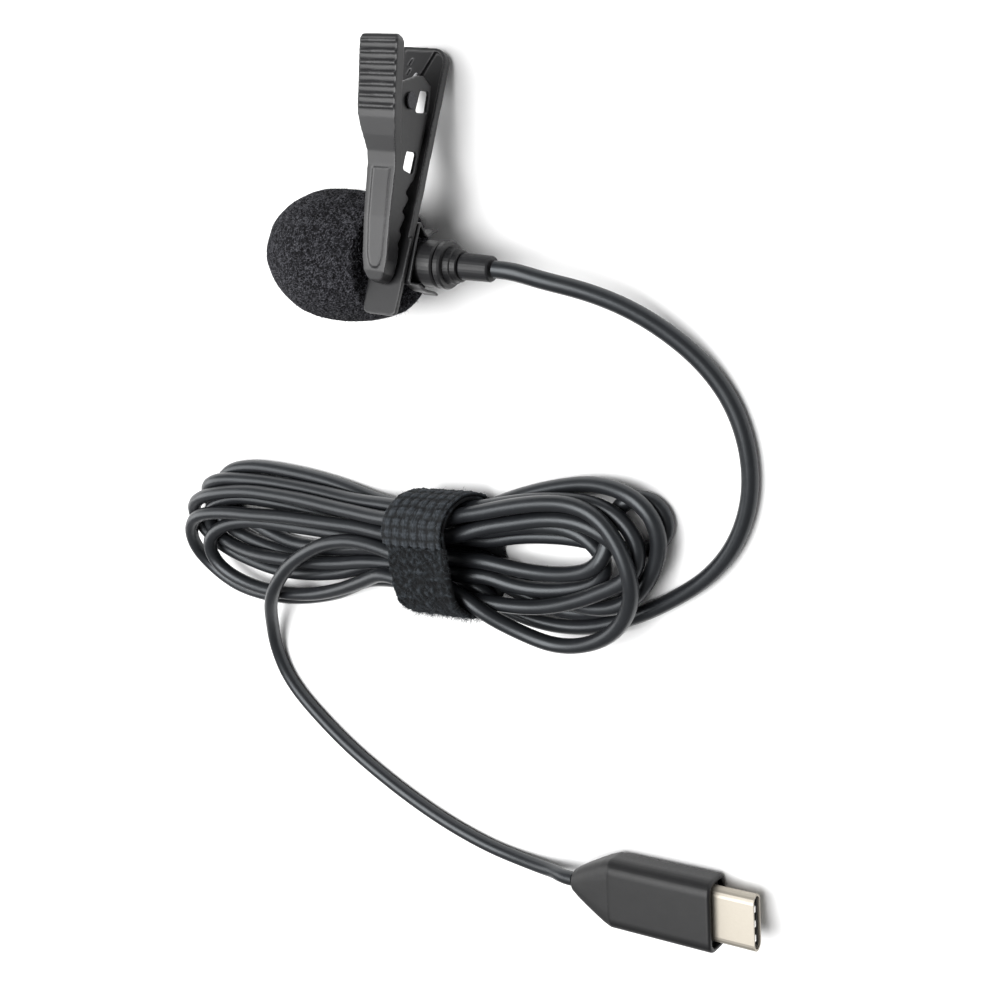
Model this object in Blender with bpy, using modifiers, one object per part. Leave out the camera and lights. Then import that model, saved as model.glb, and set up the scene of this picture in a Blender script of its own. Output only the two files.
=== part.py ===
"""Lavalier microphone: clip-on capsule with foam windscreen, bundled lead and USB-C plug.

Units are metres, +Z is up, the object lies on the plane z = 0.
The microphone's axis runs along +X towards the lead.  Local frames:
  mic frame   x along the microphone's axis, y towards the clip's thumb end, z out of the clip
  clip frame  the mic frame turned by CLIP_TURN about z, its swivel axis
  hinge frame the clip frame moved to the hinge pin
  plug frame  x along the plug towards its mouth, z up
"""
import math
import bpy
import bmesh
from mathutils import Matrix, Vector

MM = 0.001

# ---- driving dimensions, millimetres and degrees -------------------------------------------
MIC_POS = (6.81, -5.75, 8.238)     # clip's swivel axis where it crosses the mic's axis
MIC_DROP = -2.0           # slope of the microphone's axis
CLIP_PITCH = 25.5         # the clip leans back on its thumb end
CLIP_TURN = -1.6          # swivel of the clip at rest
PLAN_SHIFT = (-2.688, -3.737)   # moves everything so that the microphone and clip stand over the origin

FOAM_R = 8.6
FOAM_TIP = -20.9
FOAM_END = -0.5
FOAM_MID = -10.2
FOAM_BORE = 3.06

BARREL_R = 2.95
GROOVE_R = 2.6
BOOT_R = 1.65
CABLE_R = 1.1

WEB_TOP = 3.9
WEB_T = 0.6
PIN_Y, PIN_Z = 17.4, 8.7
PIN_R = 0.55
WALL_OUT, WALL_T = 2.1, 0.5
EAR_OUT, EAR_T = 1.45, 0.45

SHELL_W, SHELL_H, SHELL_L = 8.25, 2.4, 6.65   # USB-C plug shell
SHELL_T = 0.3
PLUG_POS = (26.09, -100.24, 3.85)
PLUG_YAW = 10.1
PLUG_ROLL = -15.0
NOSE_L = 7.0
HOUSING_L = 16.6
HOUSING_W, HOUSING_H = 10.7, 5.9

HANK_LOW, HANK_HIGH = 1.75, 9.4
TIE_IN_W, TIE_IN_H, TIE_T, TIE_LEN = 16.4, 8.6, 1.3, 10.2
TIE_POS = (5.9, -48.3)
TIE_YAW = 8.0
TIE_LEAN = 0.27


# ---- helpers ---------------------------------------------------------------------------------
for ob in list(bpy.data.objects):
    bpy.data.objects.remove(ob, do_unlink=True)
for col in list(bpy.data.collections):
    bpy.data.collections.remove(col)

scene = bpy.context.scene
scene.unit_settings.system = 'METRIC'
main = bpy.data.collections.new("lavalier_microphone")
scene.collection.children.link(main)
cutters = bpy.data.collections.new("cutters")
scene.collection.children.link(cutters)


def material(name, colour, rough, metal=0.0):
    m = bpy.data.materials.new(name)
    m.use_nodes = True
    b = m.node_tree.nodes["Principled BSDF"]
    b.inputs["Base Color"].default_value = (*colour, 1.0)
    b.inputs["Roughness"].default_value = rough
    b.inputs["Metallic"].default_value = metal
    m.diffuse_color = (*colour, 1.0)
    return m


def empty(name, parent, matrix):
    e = bpy.data.objects.new(name, None)
    e.empty_display_size = 0.003
    main.objects.link(e)
    e.parent = parent
    e.matrix_local = matrix
    return e


def rows(x, y, z, pos):
    m = Matrix((x, y, z)).transposed().to_4x4()
    m.translation = Vector(pos) * MM
    return m


def mic_matrix():
    el, p = math.radians(MIC_DROP), math.radians(CLIP_PITCH)
    w = Vector((math.cos(el), 0, math.sin(el)))
    h = Vector((0, 1, 0))
    u = w.cross(h)
    l = h * math.cos(p) - u * math.sin(p)
    t = w.cross(l)
    return rows(w, l, t, (MIC_POS[0] + PLAN_SHIFT[0], MIC_POS[1] + PLAN_SHIFT[1], MIC_POS[2]))


def link(name, me, frame, mat, collection=main, smooth=False):
    ob = bpy.data.objects.new(name, me)
    collection.objects.link(ob)
    ob.parent = frame
    if mat is not None:
        me.materials.append(mat)
    if smooth:
        for p in me.polygons:
            p.use_smooth = True
    return ob


def shade(ob, angle=40.0):
    me = ob.data
    for p in me.polygons:
        p.use_smooth = True
    me.set_sharp_from_angle(angle=math.radians(angle))


def finish_bm(bm, name):
    bmesh.ops.remove_doubles(bm, verts=bm.verts, dist=0.000001)
    bmesh.ops.recalc_face_normals(bm, faces=bm.faces)
    me = bpy.data.meshes.new(name)
    bm.to_mesh(me)
    bm.free()
    return me


def turned(name, profile, frame, mat, steps=40, collection=main, axis='X'):
    """A profile of (along, radius) in mm turned about the local x (or z) axis."""
    me = bpy.data.meshes.new(name + "_profile")
    pts = [(r * MM, 0.0, a * MM) for a, r in profile]
    closed = profile[0][1] > 0 and profile[-1][1] > 0
    n = len(pts)
    edges = [(i, i + 1) for i in range(n - 1)] + ([(n - 1, 0)] if closed else [])
    me.from_pydata(pts, edges, [])
    ob = bpy.data.objects.new(name + "_profile", me)
    scene.collection.objects.link(ob)
    s = ob.modifiers.new("turn", 'SCREW')
    s.axis = 'Z'
    s.angle = math.tau
    s.steps = steps
    s.render_steps = steps
    s.use_merge_vertices = True
    s.merge_threshold = 0.000005
    bpy.context.view_layer.update()
    dg = bpy.context.evaluated_depsgraph_get()
    out = bpy.data.meshes.new_from_object(ob.evaluated_get(dg))
    bpy.data.objects.remove(ob, do_unlink=True)
    bm = bmesh.new()
    bm.from_mesh(out)
    if axis == 'X':
        bmesh.ops.transform(bm, matrix=Matrix(((0, 0, 1, 0), (1, 0, 0, 0), (0, 1, 0, 0), (0, 0, 0, 1))),
                            verts=bm.verts)
    res = finish_bm(bm, name)
    ob = link(name, res, frame, mat, collection)
    shade(ob)
    return ob


def prism(name, outline, low, high, axis, frame, mat=None, collection=cutters):
    """Outline of 2-D points in mm, pushed between low and high along the named local axis."""
    def place(a, b, c):
        if axis == 'x':
            return (c * MM, a * MM, b * MM)
        if axis == 'y':
            return (a * MM, c * MM, b * MM)
        return (a * MM, b * MM, c * MM)
    bm = bmesh.new()
    lo = [bm.verts.new(place(a, b, low)) for a, b in outline]
    hi = [bm.verts.new(place(a, b, high)) for a, b in outline]
    n = len(outline)
    bm.faces.new(lo)
    bm.faces.new(list(reversed(hi)))
    for i in range(n):
        j = (i + 1) % n
        bm.faces.new((lo[i], hi[i], hi[j], lo[j]))
    me = finish_bm(bm, name)
    ob = link(name, me, frame, mat, collection)
    if collection == cutters:
        ob.hide_render = True
        ob.display_type = 'WIRE'
    return ob


def box(name, x, y, z, frame, mat=None, collection=cutters):
    return prism(name, [(x[0], y[0]), (x[1], y[0]), (x[1], y[1]), (x[0], y[1])], z[0], z[1], 'z',
                 frame, mat, collection)


def rounded(points, radii, steps=4):
    """Round the corners of an outline; radii is one number or one per corner."""
    n = len(points)
    out = []
    for i in range(n):
        r = radii if isinstance(radii, (int, float)) else radii[i]
        p = Vector(points[i])
        a = Vector(points[i - 1]) - p
        b = Vector(points[(i + 1) % n]) - p
        if r <= 0:
            out.append(tuple(p))
            continue
        ang = a.angle(b)
        d = min(r / math.tan(ang / 2), 0.49 * a.length, 0.49 * b.length)
        r = d * math.tan(ang / 2)
        a.normalize()
        b.normalize()
        c = p + (a + b).normalized() * (r / math.sin(ang / 2))
        s, e = p + a * d, p + b * d
        va, ve = s - c, e - c
        t0, t1 = math.atan2(va.y, va.x), math.atan2(ve.y, ve.x)
        dt = (t1 - t0 + math.pi) % math.tau - math.pi
        for k in range(steps + 1):
            t = t0 + dt * k / steps
            out.append((c.x + r * math.cos(t), c.y + r * math.sin(t)))
    return out


def boolean(target, other, op='DIFFERENCE', remove=True):
    m = target.modifiers.new(op.lower(), 'BOOLEAN')
    m.operation = op
    m.solver = 'EXACT'
    m.object = other
    bpy.context.view_layer.update()
    dg = bpy.context.evaluated_depsgraph_get()
    new = bpy.data.meshes.new_from_object(target.evaluated_get(dg))
    old = target.data
    target.modifiers.clear()
    bm = bmesh.new()
    bm.from_mesh(new)
    bmesh.ops.remove_doubles(bm, verts=bm.verts, dist=0.000002)
    bmesh.ops.dissolve_degenerate(bm, edges=bm.edges, dist=0.000001)
    bm.to_mesh(new)
    bm.free()
    new.name = old.name
    target.data = new
    if remove:
        bpy.data.objects.remove(other, do_unlink=True)
    return target


def bevel(ob, width, segments=2, angle=35.0):
    m = ob.modifiers.new("edges", 'BEVEL')
    m.width = width * MM
    m.segments = segments
    m.limit_method = 'ANGLE'
    m.angle_limit = math.radians(angle)
    m.use_clamp_overlap = True
    m.harden_normals = False
    bpy.context.view_layer.update()
    dg = bpy.context.evaluated_depsgraph_get()
    new = bpy.data.meshes.new_from_object(ob.evaluated_get(dg))
    ob.modifiers.clear()
    ob.data = new
    return ob


def smooth_path(points, count, closed=False):
    """Centripetal curve through the points, resampled at even spacing."""
    pts = [Vector(p) for p in points]
    n = len(pts)
    fine = []
    segs = n if closed else n - 1
    for i in range(segs):
        p0 = pts[(i - 1) % n] if closed or i > 0 else pts[0] * 2 - pts[1]
        p1, p2 = pts[i], pts[(i + 1) % n]
        p3 = pts[(i + 2) % n] if closed or i + 2 < n else pts[-1] * 2 - pts[-2]
        for k in range(12):
            t = k / 12.0
            fine.append(0.5 * ((2 * p1) + (p2 - p0) * t + (2 * p0 - 5 * p1 + 4 * p2 - p3) * t * t
                               + (3 * p1 - p0 - 3 * p2 + p3) * t ** 3))
    fine.append(pts[0].copy() if closed else pts[-1].copy())
    length = [0.0]
    for a, b in zip(fine, fine[1:]):
        length.append(length[-1] + (b - a).length)
    out = []
    j = 0
    m = count if closed else count - 1
    for i in range(count):
        s = length[-1] * i / m
        while j < len(length) - 2 and length[j + 1] < s:
            j += 1
        f = 0 if length[j + 1] == length[j] else (s - length[j]) / (length[j + 1] - length[j])
        out.append(fine[j].lerp(fine[j + 1], min(1.0, f)))
    return out


def tube(name, points, radius, frame, mat, resolution=2):
    cu = bpy.data.curves.new(name + "_curve", 'CURVE')
    cu.dimensions = '3D'
    cu.bevel_depth = radius * MM
    cu.bevel_resolution = resolution
    cu.use_fill_caps = True
    sp = cu.splines.new('POLY')
    sp.points.add(len(points) - 1)
    for q, p in zip(sp.points, points):
        q.co = (p[0] * MM, p[1] * MM, p[2] * MM, 1.0)
    ob = bpy.data.objects.new(name + "_curve", cu)
    scene.collection.objects.link(ob)
    bpy.context.view_layer.update()
    dg = bpy.context.evaluated_depsgraph_get()
    me = bpy.data.meshes.new_from_object(ob.evaluated_get(dg))
    bpy.data.objects.remove(ob, do_unlink=True)
    bm = bmesh.new()
    bm.from_mesh(me)
    res = finish_bm(bm, name)
    res.materials.clear()
    ob = link(name, res, frame, mat)
    shade(ob, 50)
    return ob


# ---- materials -------------------------------------------------------------------------------
foam_mat = material("foam_black", (0.018, 0.018, 0.019), 0.95)
paint_mat = material("black_paint", (0.022, 0.022, 0.024), 0.38, 0.2)
plastic_mat = material("black_plastic", (0.02, 0.02, 0.021), 0.5)
rubber_mat = material("black_rubber", (0.022, 0.022, 0.023), 0.6)
jacket_mat = material("cable_jacket", (0.02, 0.02, 0.021), 0.45)
fabric_mat = material("tie_fabric", (0.02, 0.022, 0.024), 0.95)
nickel_mat = material("nickel", (0.82, 0.76, 0.68), 0.28, 1.0)
steel_mat = material("spring_steel", (0.5, 0.5, 0.52), 0.35, 1.0)
gold_mat = material("gold_contact", (0.85, 0.62, 0.28), 0.3, 1.0)
board_mat = material("board_green", (0.02, 0.16, 0.07), 0.5)
chip_mat = material("chip_black", (0.03, 0.03, 0.03), 0.5)
can_mat = material("capsule_can", (0.7, 0.7, 0.7), 0.35, 1.0)
felt_mat = material("grille_mesh", (0.12, 0.12, 0.12), 0.6, 0.6)

mic = empty("mic_frame", None, mic_matrix())
clip = empty("clip_frame", mic, Matrix.Rotation(math.radians(CLIP_TURN), 4, 'Z'))
hinge = empty("hinge_frame", clip, Matrix.Translation(Vector((0, PIN_Y, PIN_Z)) * MM))
plug_m = Matrix.Translation(Vector((PLUG_POS[0] + PLAN_SHIFT[0], PLUG_POS[1] + PLAN_SHIFT[1], PLUG_POS[2])) * MM) \
    @ Matrix.Rotation(math.radians(PLUG_YAW), 4, 'Z') @ Matrix.Rotation(math.radians(PLUG_ROLL), 4, 'X')
plug = empty("plug_frame", None, plug_m)

# ---- foam windscreen -------------------------------------------------------------------------
left, right = FOAM_MID - FOAM_TIP, 14.6
profile = [(FOAM_TIP, 0.0)]
for i in range(1, 15):
    t = math.pi / 2 * i / 14
    profile.append((FOAM_MID - left * math.cos(t), FOAM_R * math.sin(t)))
for i in range(1, 9):
    x = (FOAM_END - FOAM_MID) * i / 8 * 0.985
    profile.append((FOAM_MID + x, FOAM_R * math.sqrt(1 - (x / right) ** 2)))
profile += [(FOAM_END, profile[-1][1] - 0.45), (FOAM_END - 0.15, 4.75), (-1.95, 4.6), (-2.15, 4.4), (-2.2, FOAM_BORE),
            (-13.6, FOAM_BORE), (-14.0, 2.7), (-14.0, 0.0)]
foam = turned("windscreen_foam", profile, mic, foam_mat, steps=48)
# the foam gives way under the rear jaw
boolean(foam, box("jaw_bed", (-2.95, 12.0), (-9.2, 30.0), (WEB_TOP - WEB_T - 0.3, 20.0), clip))
shade(foam, 45)

# ---- microphone --------------------------------------------------------------------------------
turned("mic_barrel", [(-13.0, 2.4), (-13.0, 2.75), (-12.8, BARREL_R), (-2.2, BARREL_R), (-2.05, GROOVE_R),
                      (3.35, GROOVE_R), (3.5, BARREL_R), (5.2, BARREL_R), (5.4, 2.75), (5.4, 0.0),
                      (4.4, 0.0), (4.4, 2.2), (-12.4, 2.2), (-12.4, 2.4)], mic, paint_mat, steps=40)
grille = turned("front_grille", [(-12.97, 0.0), (-12.97, 2.36), (-12.7, 2.36), (-12.7, 0.0)], mic, felt_mat, steps=32)
for k in range(7):
    a = math.tau * k / 6
    cy, cz = (0.0, 0.0) if k == 6 else (1.4 * math.cos(a), 1.4 * math.sin(a))
    ring = [(cy + 0.38 * math.cos(math.tau * j / 10), cz + 0.38 * math.sin(math.tau * j / 10)) for j in range(10)]
    boolean(grille, prism("hole", ring, -14, -12, 'x', mic))
turned("capsule_gasket", [(-12.35, 1.75), (-12.35, 2.15), (-10.2, 2.15), (-10.2, 1.75)], mic, rubber_mat, steps=32)
turned("electret_capsule", [(-12.3, 0.0), (-12.3, 1.6), (-12.2, 1.7), (-10.5, 1.7), (-10.4, 1.6), (-10.4, 0.0)],
       mic, can_mat, steps=32)
turned("rear_flange_ring", [(5.45, 0.0), (5.45, 2.55), (5.6, 2.7), (5.75, 2.95), (6.35, 3.0), (6.6, 2.85), (6.65, 2.45),
                            (6.65, 0.0)], mic, paint_mat, steps=40)
turned("stepped_collar", [(6.7, 0.0), (6.7, 2.3), (7.5, 2.25), (7.6, 2.05), (8.25, 1.95), (8.35, 1.8), (8.35, 0.0)],
       mic, rubber_mat, steps=36)
turned("strain_boot", [(8.4, 0.0), (8.4, BOOT_R - 0.1), (8.6, BOOT_R), (12.4, BOOT_R - 0.05), (12.6, BOOT_R - 0.2),
                       (12.6, 0.0)], mic, rubber_mat, steps=32)

# ---- holder clasp: folded spring sheet that grips the barrel's groove ------------------------------
centre = [(4.35, -1.2), (3.95, -0.35), (3.45, 0.25), (3.1, 0.75), (3.25, 1.35), (3.85, 2.2), (4.3, 2.7), (4.15, 2.86),
          (3.7, 2.88), (-2.9, 2.88), (-3.15, 2.75), (-3.1, 2.2), (-2.95, 1.5), (-2.88, 0.9), (-3.0, 0.2), (-3.25, -0.6),
          (-3.3, -1.2), (-3.2, -2.2), (-3.15, -3.1), (-3.3, -3.7)]
THICK = 0.34


def ribbon_outline(pts, t):
    side_a, side_b = [], []
    for i, p in enumerate(pts):
        a = Vector(pts[max(0, i - 1)])
        b = Vector(pts[min(len(pts) - 1, i + 1)])
        d = (b - a).normalized()
        nrm = Vector((-d.y, d.x))
        q = Vector(p)
        side_a.append(tuple(q + nrm * t / 2))
        side_b.append(tuple(q - nrm * t / 2))
    return side_a + list(reversed(side_b))


clasp = prism("holder_clasp", ribbon_outline(centre, THICK), 0.9, 3.0, 'x', mic, steel_mat, main)
boolean(clasp, box("clasp_plate", (-1.7, 1.4), (-2.6, 2.6), (2.88 - THICK / 2, 2.88 + THICK / 2), mic), 'UNION')
clasp.data.materials.clear()
clasp.data.materials.append(paint_mat)
for r, nm in ((0.74, "rivet_hole"),):
    hole = [(r * math.cos(math.tau * j / 20), r * math.sin(math.tau * j / 20)) for j in range(20)]
    boolean(clasp, prism(nm, hole, 2.2, 3.4, 'z', mic))
shade(clasp, 40)
turned("swivel_rivet", [(2.72, 0.0), (2.72, 0.7), (WEB_TOP + 0.06, 0.7), (WEB_TOP + 0.06, 1.0), (WEB_TOP + 0.2, 1.0),
                        (WEB_TOP + 0.3, 0.85), (WEB_TOP + 0.34, 0.0)], mic, steel_mat, steps=28, axis='Z')

# ---- rear jaw -------------------------------------------------------------------------------------
plan = rounded([(-2.4, -7.5), (2.5, -7.4), (2.85, 8.0), (2.95, 25.2), (-3.9, 25.4), (-2.8, 9.0)],
               [0.7, 0.7, 0, 1.9, 0.45, 0], 5)
web_low = WEB_TOP - WEB_T
jaw = prism("rear_jaw", plan, web_low, WEB_TOP + 0.45, 'z', clip, paint_mat, main)
inner = rounded([(-2.35, 2.0), (2.4, 2.0), (2.5, 24.8), (-3.35, 24.95)], [0.3, 0.3, 1.5, 0.3], 4)
boolean(jaw, prism("tray", inner, WEB_TOP, 6.0, 'z', clip))
boolean(jaw, box("tip_flat", (-4, 4), (-9, 2.2), (WEB_TOP, 6.0), clip))
for y0, y1 in ((16.95, 20.5), (9.3, 12.9)):
    boolean(jaw, prism("window", rounded([(-1.65, y0), (1.1, y0), (1.1, y1), (-1.65, y1)], 0.35, 3), 2, 5, 'z', clip))
ear = rounded([(13.25, web_low + 0.1), (15.9, web_low + 0.1), (16.35, 6.6), (18.4, 7.35), (18.7, 8.7), (18.2, 9.7),
               (17.3, 10.0), (16.3, 9.7), (15.6, 8.3)], [0, 0, 0.5, 0.4, 0.5, 0.5, 0.5, 0.5, 0.6], 3)
for s in (-1, 1):
    lo, hi = sorted((s * (EAR_OUT - EAR_T), s * EAR_OUT))
    boolean(jaw, prism("ear", ear, lo, hi, 'x', clip), 'UNION')
hole = [(PIN_Y + (PIN_R + 0.02) * math.cos(math.tau * j / 24), PIN_Z + (PIN_R + 0.02) * math.sin(math.tau * j / 24))
        for j in range(24)]
boolean(jaw, prism("pin_hole", hole, -4, 4, 'x', clip))
facet = [(-3.4, 25.0), (1.0, 24.85), (-1.0, 20.75), (-3.05, 20.75)]
boolean(jaw, prism("facet", facet, WEB_TOP - 0.2, WEB_TOP + 0.4, 'z', clip), 'UNION')
for y in (22.3, 23.5):
    mark = [(-2.55, y - 0.45), (-2.3, y - 0.55), (-1.85, y + 0.3), (-2.1, y + 0.45)]
    boolean(jaw, prism("mark", mark, WEB_TOP + 0.15, 6.0, 'z', clip))
rivet_hole = [(0.8 * math.cos(math.tau * j / 20), 0.8 * math.sin(math.tau * j / 20)) for j in range(20)]
boolean(jaw, prism("rivet_way", rivet_hole, 2, 6, 'z', clip))
shade(jaw, 35)

# ---- front jaw, modelled in clip coordinates and then moved to the hinge ------------------------------
face = [(-3.75, 4.3), (-3.95, 5.0), (-3.7, 5.9), (-2.6, 6.5), (-0.8, 6.95), (3.7, 8.0), (9.6, 9.05), (11.0, 9.6),
        (12.6, 10.7), (14.4, 11.75), (16.0, 12.3), (22.7, 14.07), (23.25, 13.95), (23.45, 13.5)]
teeth = [(9.0, 4.9), (7.45, 5.75), (7.15, 5.8), (6.85, 5.15), (6.4, 5.1), (5.15, 5.6), (4.9, 5.62), (4.6, 5.05),
         (4.2, 5.0), (2.95, 5.45), (2.7, 5.45), (2.4, 4.98), (2.0, 4.95), (1.2, 5.2), (0.95, 5.2), (0.6, 4.8)]
side = face[:11] + [(18.6, 12.85), (18.9, 10.8), (20.6, 8.0), (20.9, 7.0), (20.3, 5.0), (17.5, 4.55), (10.0, 4.7)] + teeth + [(-3.2, 4.25)]
front = prism("front_jaw", side, -WALL_OUT, WALL_OUT, 'x', clip, paint_mat, main)
arm_plan = [(2.1, 23.0), (2.1, 9.0), (1.82, -1.2), (1.55, -2.7), (1.05, -3.5), (0.4, -3.85), (-0.4, -3.85), (-1.05, -3.5),
            (-1.55, -2.7), (-1.82, -1.2), (-2.1, 9.0), (-2.1, 23.0)]
boolean(front, prism("arm_plan", arm_plan, 0, 20, 'z', clip), 'INTERSECT')
pad_side = [(9.8, 9.08), (11.0, 9.6), (12.6, 10.7), (14.4, 11.75), (16.0, 12.3), (22.7, 14.07), (23.25, 13.95),
            (23.45, 13.5), (23.35, 13.0), (22.9, 12.65), (16.2, 10.95), (14.6, 10.35), (12.8, 9.3), (11.4, 8.4), (9.9, 7.9)]
pad = prism("pad", pad_side, -2.75, 2.75, 'x', clip)
pad_plan = [(2.1, 9.5), (2.12, 11.0), (2.3, 12.2), (2.6, 13.6), (2.75, 15.0), (2.75, 22.7), (2.55, 23.2), (2.1, 23.6),
            (-2.1, 23.6), (-2.55, 23.2), (-2.75, 22.7), (-2.75, 15.0), (-2.6, 13.6), (-2.3, 12.2), (-2.12, 11.0),
            (-2.1, 9.5)]
boolean(pad, prism("pad_plan", pad_plan, 0, 20, 'z', clip), 'INTERSECT')
boolean(front, pad, 'UNION')
inner_side = [(-2.4, 3.0), (-2.4, 5.4), (-0.6, 5.95), (3.9, 7.0), (9.8, 8.05), (11.6, 8.75), (13.2, 9.85), (14.8, 10.75),
              (16.2, 11.2), (22.5, 12.85), (24.5, 12.0), (24.5, 3.0)]
hollow = prism("hollow", inner_side, -(WALL_OUT - WALL_T), WALL_OUT - WALL_T, 'x', clip)
hollow_plan = [(1.6, 25.0), (1.6, 9.0), (1.32, -1.0), (0.9, -2.5), (-0.9, -2.5), (-1.32, -1.0), (-1.6, 9.0), (-1.6, 25.0)]
boolean(hollow, prism("hollow_plan", hollow_plan, 0, 20, 'z', clip), 'INTERSECT')
boolean(front, hollow)
for pts in ([(16.45, 7.2), (19.15, 7.0), (19.6, 5.2), (17.1, 5.0)], [(9.6, 7.35), (11.8, 7.35), (12.2, 5.25), (9.55, 5.3)]):
    boolean(front, prism("slot", rounded(pts, 0.3, 3), -4, 4, 'x', clip))
hole = [(PIN_Y + (PIN_R + 0.07) * math.cos(math.tau * j / 24), PIN_Z + (PIN_R + 0.07) * math.sin(math.tau * j / 24))
        for j in range(24)]
boolean(front, prism("pin_way", hole, -4, 4, 'x', clip))
panel = [(1.3, 9.3), (1.3, 3.0), (1.12, -0.8), (0.8, -1.9), (0.3, -2.3), (-0.3, -2.3), (-0.8, -1.9), (-1.12, -0.8),
         (-1.3, 3.0), (-1.3, 9.3)]
panel_side = [(-2.6, 6.36), (-0.8, 6.81), (3.7, 7.86), (9.5, 8.9), (9.5, 12.0), (-2.6, 12.0)]
inset = prism("inset", panel_side, -1.3, 1.3, 'x', clip)
boolean(inset, prism("inset_plan", panel, 0, 20, 'z', clip), 'INTERSECT')
boolean(front, inset)
slope = math.atan2(14.2 - 12.3, 23.2 - 16.0)
for k in range(7):
    y = 15.5 + 1.16 * k
    z = 12.3 + (y - 16.0) * math.tan(slope) if y > 16 else 12.12
    ridge = [(y - 0.42, z - 0.3), (y + 0.42, z - 0.3 + 0.84 * math.tan(slope)), (y + 0.16, z + 0.24),
             (y - 0.14, z + 0.19)]
    rr = prism("ridge", ridge, -2.55, 2.55, 'x', clip)
    boolean(front, rr, 'UNION')
m = Matrix.Translation(-Vector((0, PIN_Y, PIN_Z)) * MM)
front.data.transform(m)
front.parent = hinge
front.matrix_local = Matrix.Identity(4)
shade(front, 35)

# ---- hinge pin and torsion spring ---------------------------------------------------------------------
turned("hinge_pin", [(-2.5, 0.0), (-2.5, 0.9), (-2.4, 1.0), (-2.2, 1.0), (-2.2, PIN_R), (2.2, PIN_R), (2.2, 1.0),
                     (2.4, 1.0), (2.5, 0.9), (2.5, 0.0)], hinge, steel_mat, steps=24)
coil = []
TURNS, PITCH, COIL_R, WIRE = 3.5, 0.42, 0.98, 0.17
start = -0.5 * TURNS * PITCH
a0 = math.radians(-20)
n = int(TURNS * 14)
lead_in = Vector((start, 4.6 * math.cos(math.radians(-42)), 4.6 * math.sin(math.radians(-42))))
pts = [(start, 4.55, -4.2 + 0.15), (start, 3.0, -2.95), (start, 1.6, -1.75)]
for k in range(n + 1):
    t = a0 + math.tau * TURNS * k / n
    pts.append((start + PITCH * TURNS * k / n, COIL_R * math.cos(t), COIL_R * math.sin(t)))
end = pts[-1]
pts = pts + [(end[0], -0.2, 1.35), (end[0], 1.2, 1.95), (end[0], 2.8, 2.55), (end[0], 4.6, 3.05)]
tube("torsion_spring", pts, WIRE, hinge, steel_mat, 1)

# ---- lead -------------------------------------------------------------------------------------------------
mm_mic = mic_matrix()


def mic_point(x, y, z):
    return mm_mic @ (Vector((x, y, z)) * MM) / MM


def shifted(p):
    return (p[0] + PLAN_SHIFT[0], p[1] + PLAN_SHIFT[1], p[2])


exit_p = mic_point(12.9, 0, 0)
exit_q = mic_point(15.5, 0, 0)
route_a = [tuple(exit_p), tuple(exit_q)] + [shifted(p) for p in (
    (24.8, -6.6, 7.0), (30.4, -7.9, 5.9), (35.6, -9.9, 4.7), (40.3, -12.8, 3.5), (44.5, -16.4, 2.5), (47.9, -20.9, 1.8),
    (50.0, -26.3, 1.4), (50.5, -32.5, 1.2), (48.9, -39.0, 1.15), (45.4, -44.6, 1.3), (41.4, -48.5, 2.0),
    (38.0, -50.9, 3.4))]
tube("mic_lead", [tuple(p) for p in smooth_path(route_a, 34)], CABLE_R, None, jacket_mat)

nose_m = plug_m @ (Vector((-0.3, 0, 0)) * MM) / MM
nose_n = plug_m @ (Vector((-3.0, 0, 0)) * MM) / MM
route_b = [shifted(p) for p in ((-29.7, -65.4, 4.2), (-31.6, -68.0, 3.2), (-33.6, -72.2, 1.8), (-34.3, -78.1, 1.15),
                                (-32.7, -82.0, 1.15), (-30.3, -85.4, 1.15), (-24.0, -90.8, 1.15), (-16.7, -95.1, 1.15),
                                (-9.1, -98.5, 1.15), (-1.2, -101.2, 1.2), (6.9, -102.7, 1.5), (15.6, -102.4, 2.5))] \
    + [tuple(nose_n), tuple(nose_m)]
tube("plug_lead", [tuple(p) for p in smooth_path(route_b, 34)], CABLE_R, None, jacket_mat)

hank_outline = [(-3.5, -42.9), (-20.0, -41.9), (-31.0, -42.8), (-40.5, -45.4), (-46.4, -49.6), (-48.6, -54.8),
                (-46.4, -60.0), (-40.8, -63.2), (-31.5, -64.4), (-23.0, -62.9), (-14.5, -60.0), (-7.2, -57.4),
                (0.2, -56.0), (5.6, -55.0), (11.0, -54.0), (15.6, -54.6), (21.5, -58.0), (28.0, -56.9), (32.8, -53.8),
                (36.2, -49.9), (38.9, -46.2), (39.6, -41.6), (38.6, -37.9), (35.2, -35.6), (29.0, -34.9),
                (21.5, -37.2), (15.6, -41.0), (10.6, -41.9), (4.6, -42.2)]
low = [shifted((x, y, 0.0)) for x, y in hank_outline]
path = smooth_path(low, 84, closed=True)
cu = bpy.data.curves.new("hank_outline", 'CURVE')
cu.dimensions = '2D'
cu.fill_mode = 'BOTH'
EDGE = 1.9
cu.extrude = ((HANK_HIGH - HANK_LOW) / 2 - EDGE) * MM
cu.bevel_depth = EDGE * MM
cu.bevel_resolution = 2
cu.offset = -EDGE * MM
sp = cu.splines.new('POLY')
sp.points.add(len(path) - 1)
for q, p in zip(sp.points, path):
    q.co = (p[0] * MM, p[1] * MM, 0.0, 1.0)
sp.use_cyclic_u = True
ob = bpy.data.objects.new("hank_curve", cu)
scene.collection.objects.link(ob)
ob.location = (0, 0, (HANK_LOW + HANK_HIGH) / 2 * MM)
bpy.context.view_layer.update()
dg = bpy.context.evaluated_depsgraph_get()
me = bpy.data.meshes.new_from_object(ob.evaluated_get(dg))
mw = ob.matrix_world.copy()
bpy.data.objects.remove(ob, do_unlink=True)
bm = bmesh.new()
bm.from_mesh(me)
me2 = finish_bm(bm, "cable_hank")
me2.materials.clear()
hank = link("cable_hank", me2, None, jacket_mat)
hank.matrix_world = mw
shade(hank, 50)

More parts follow.
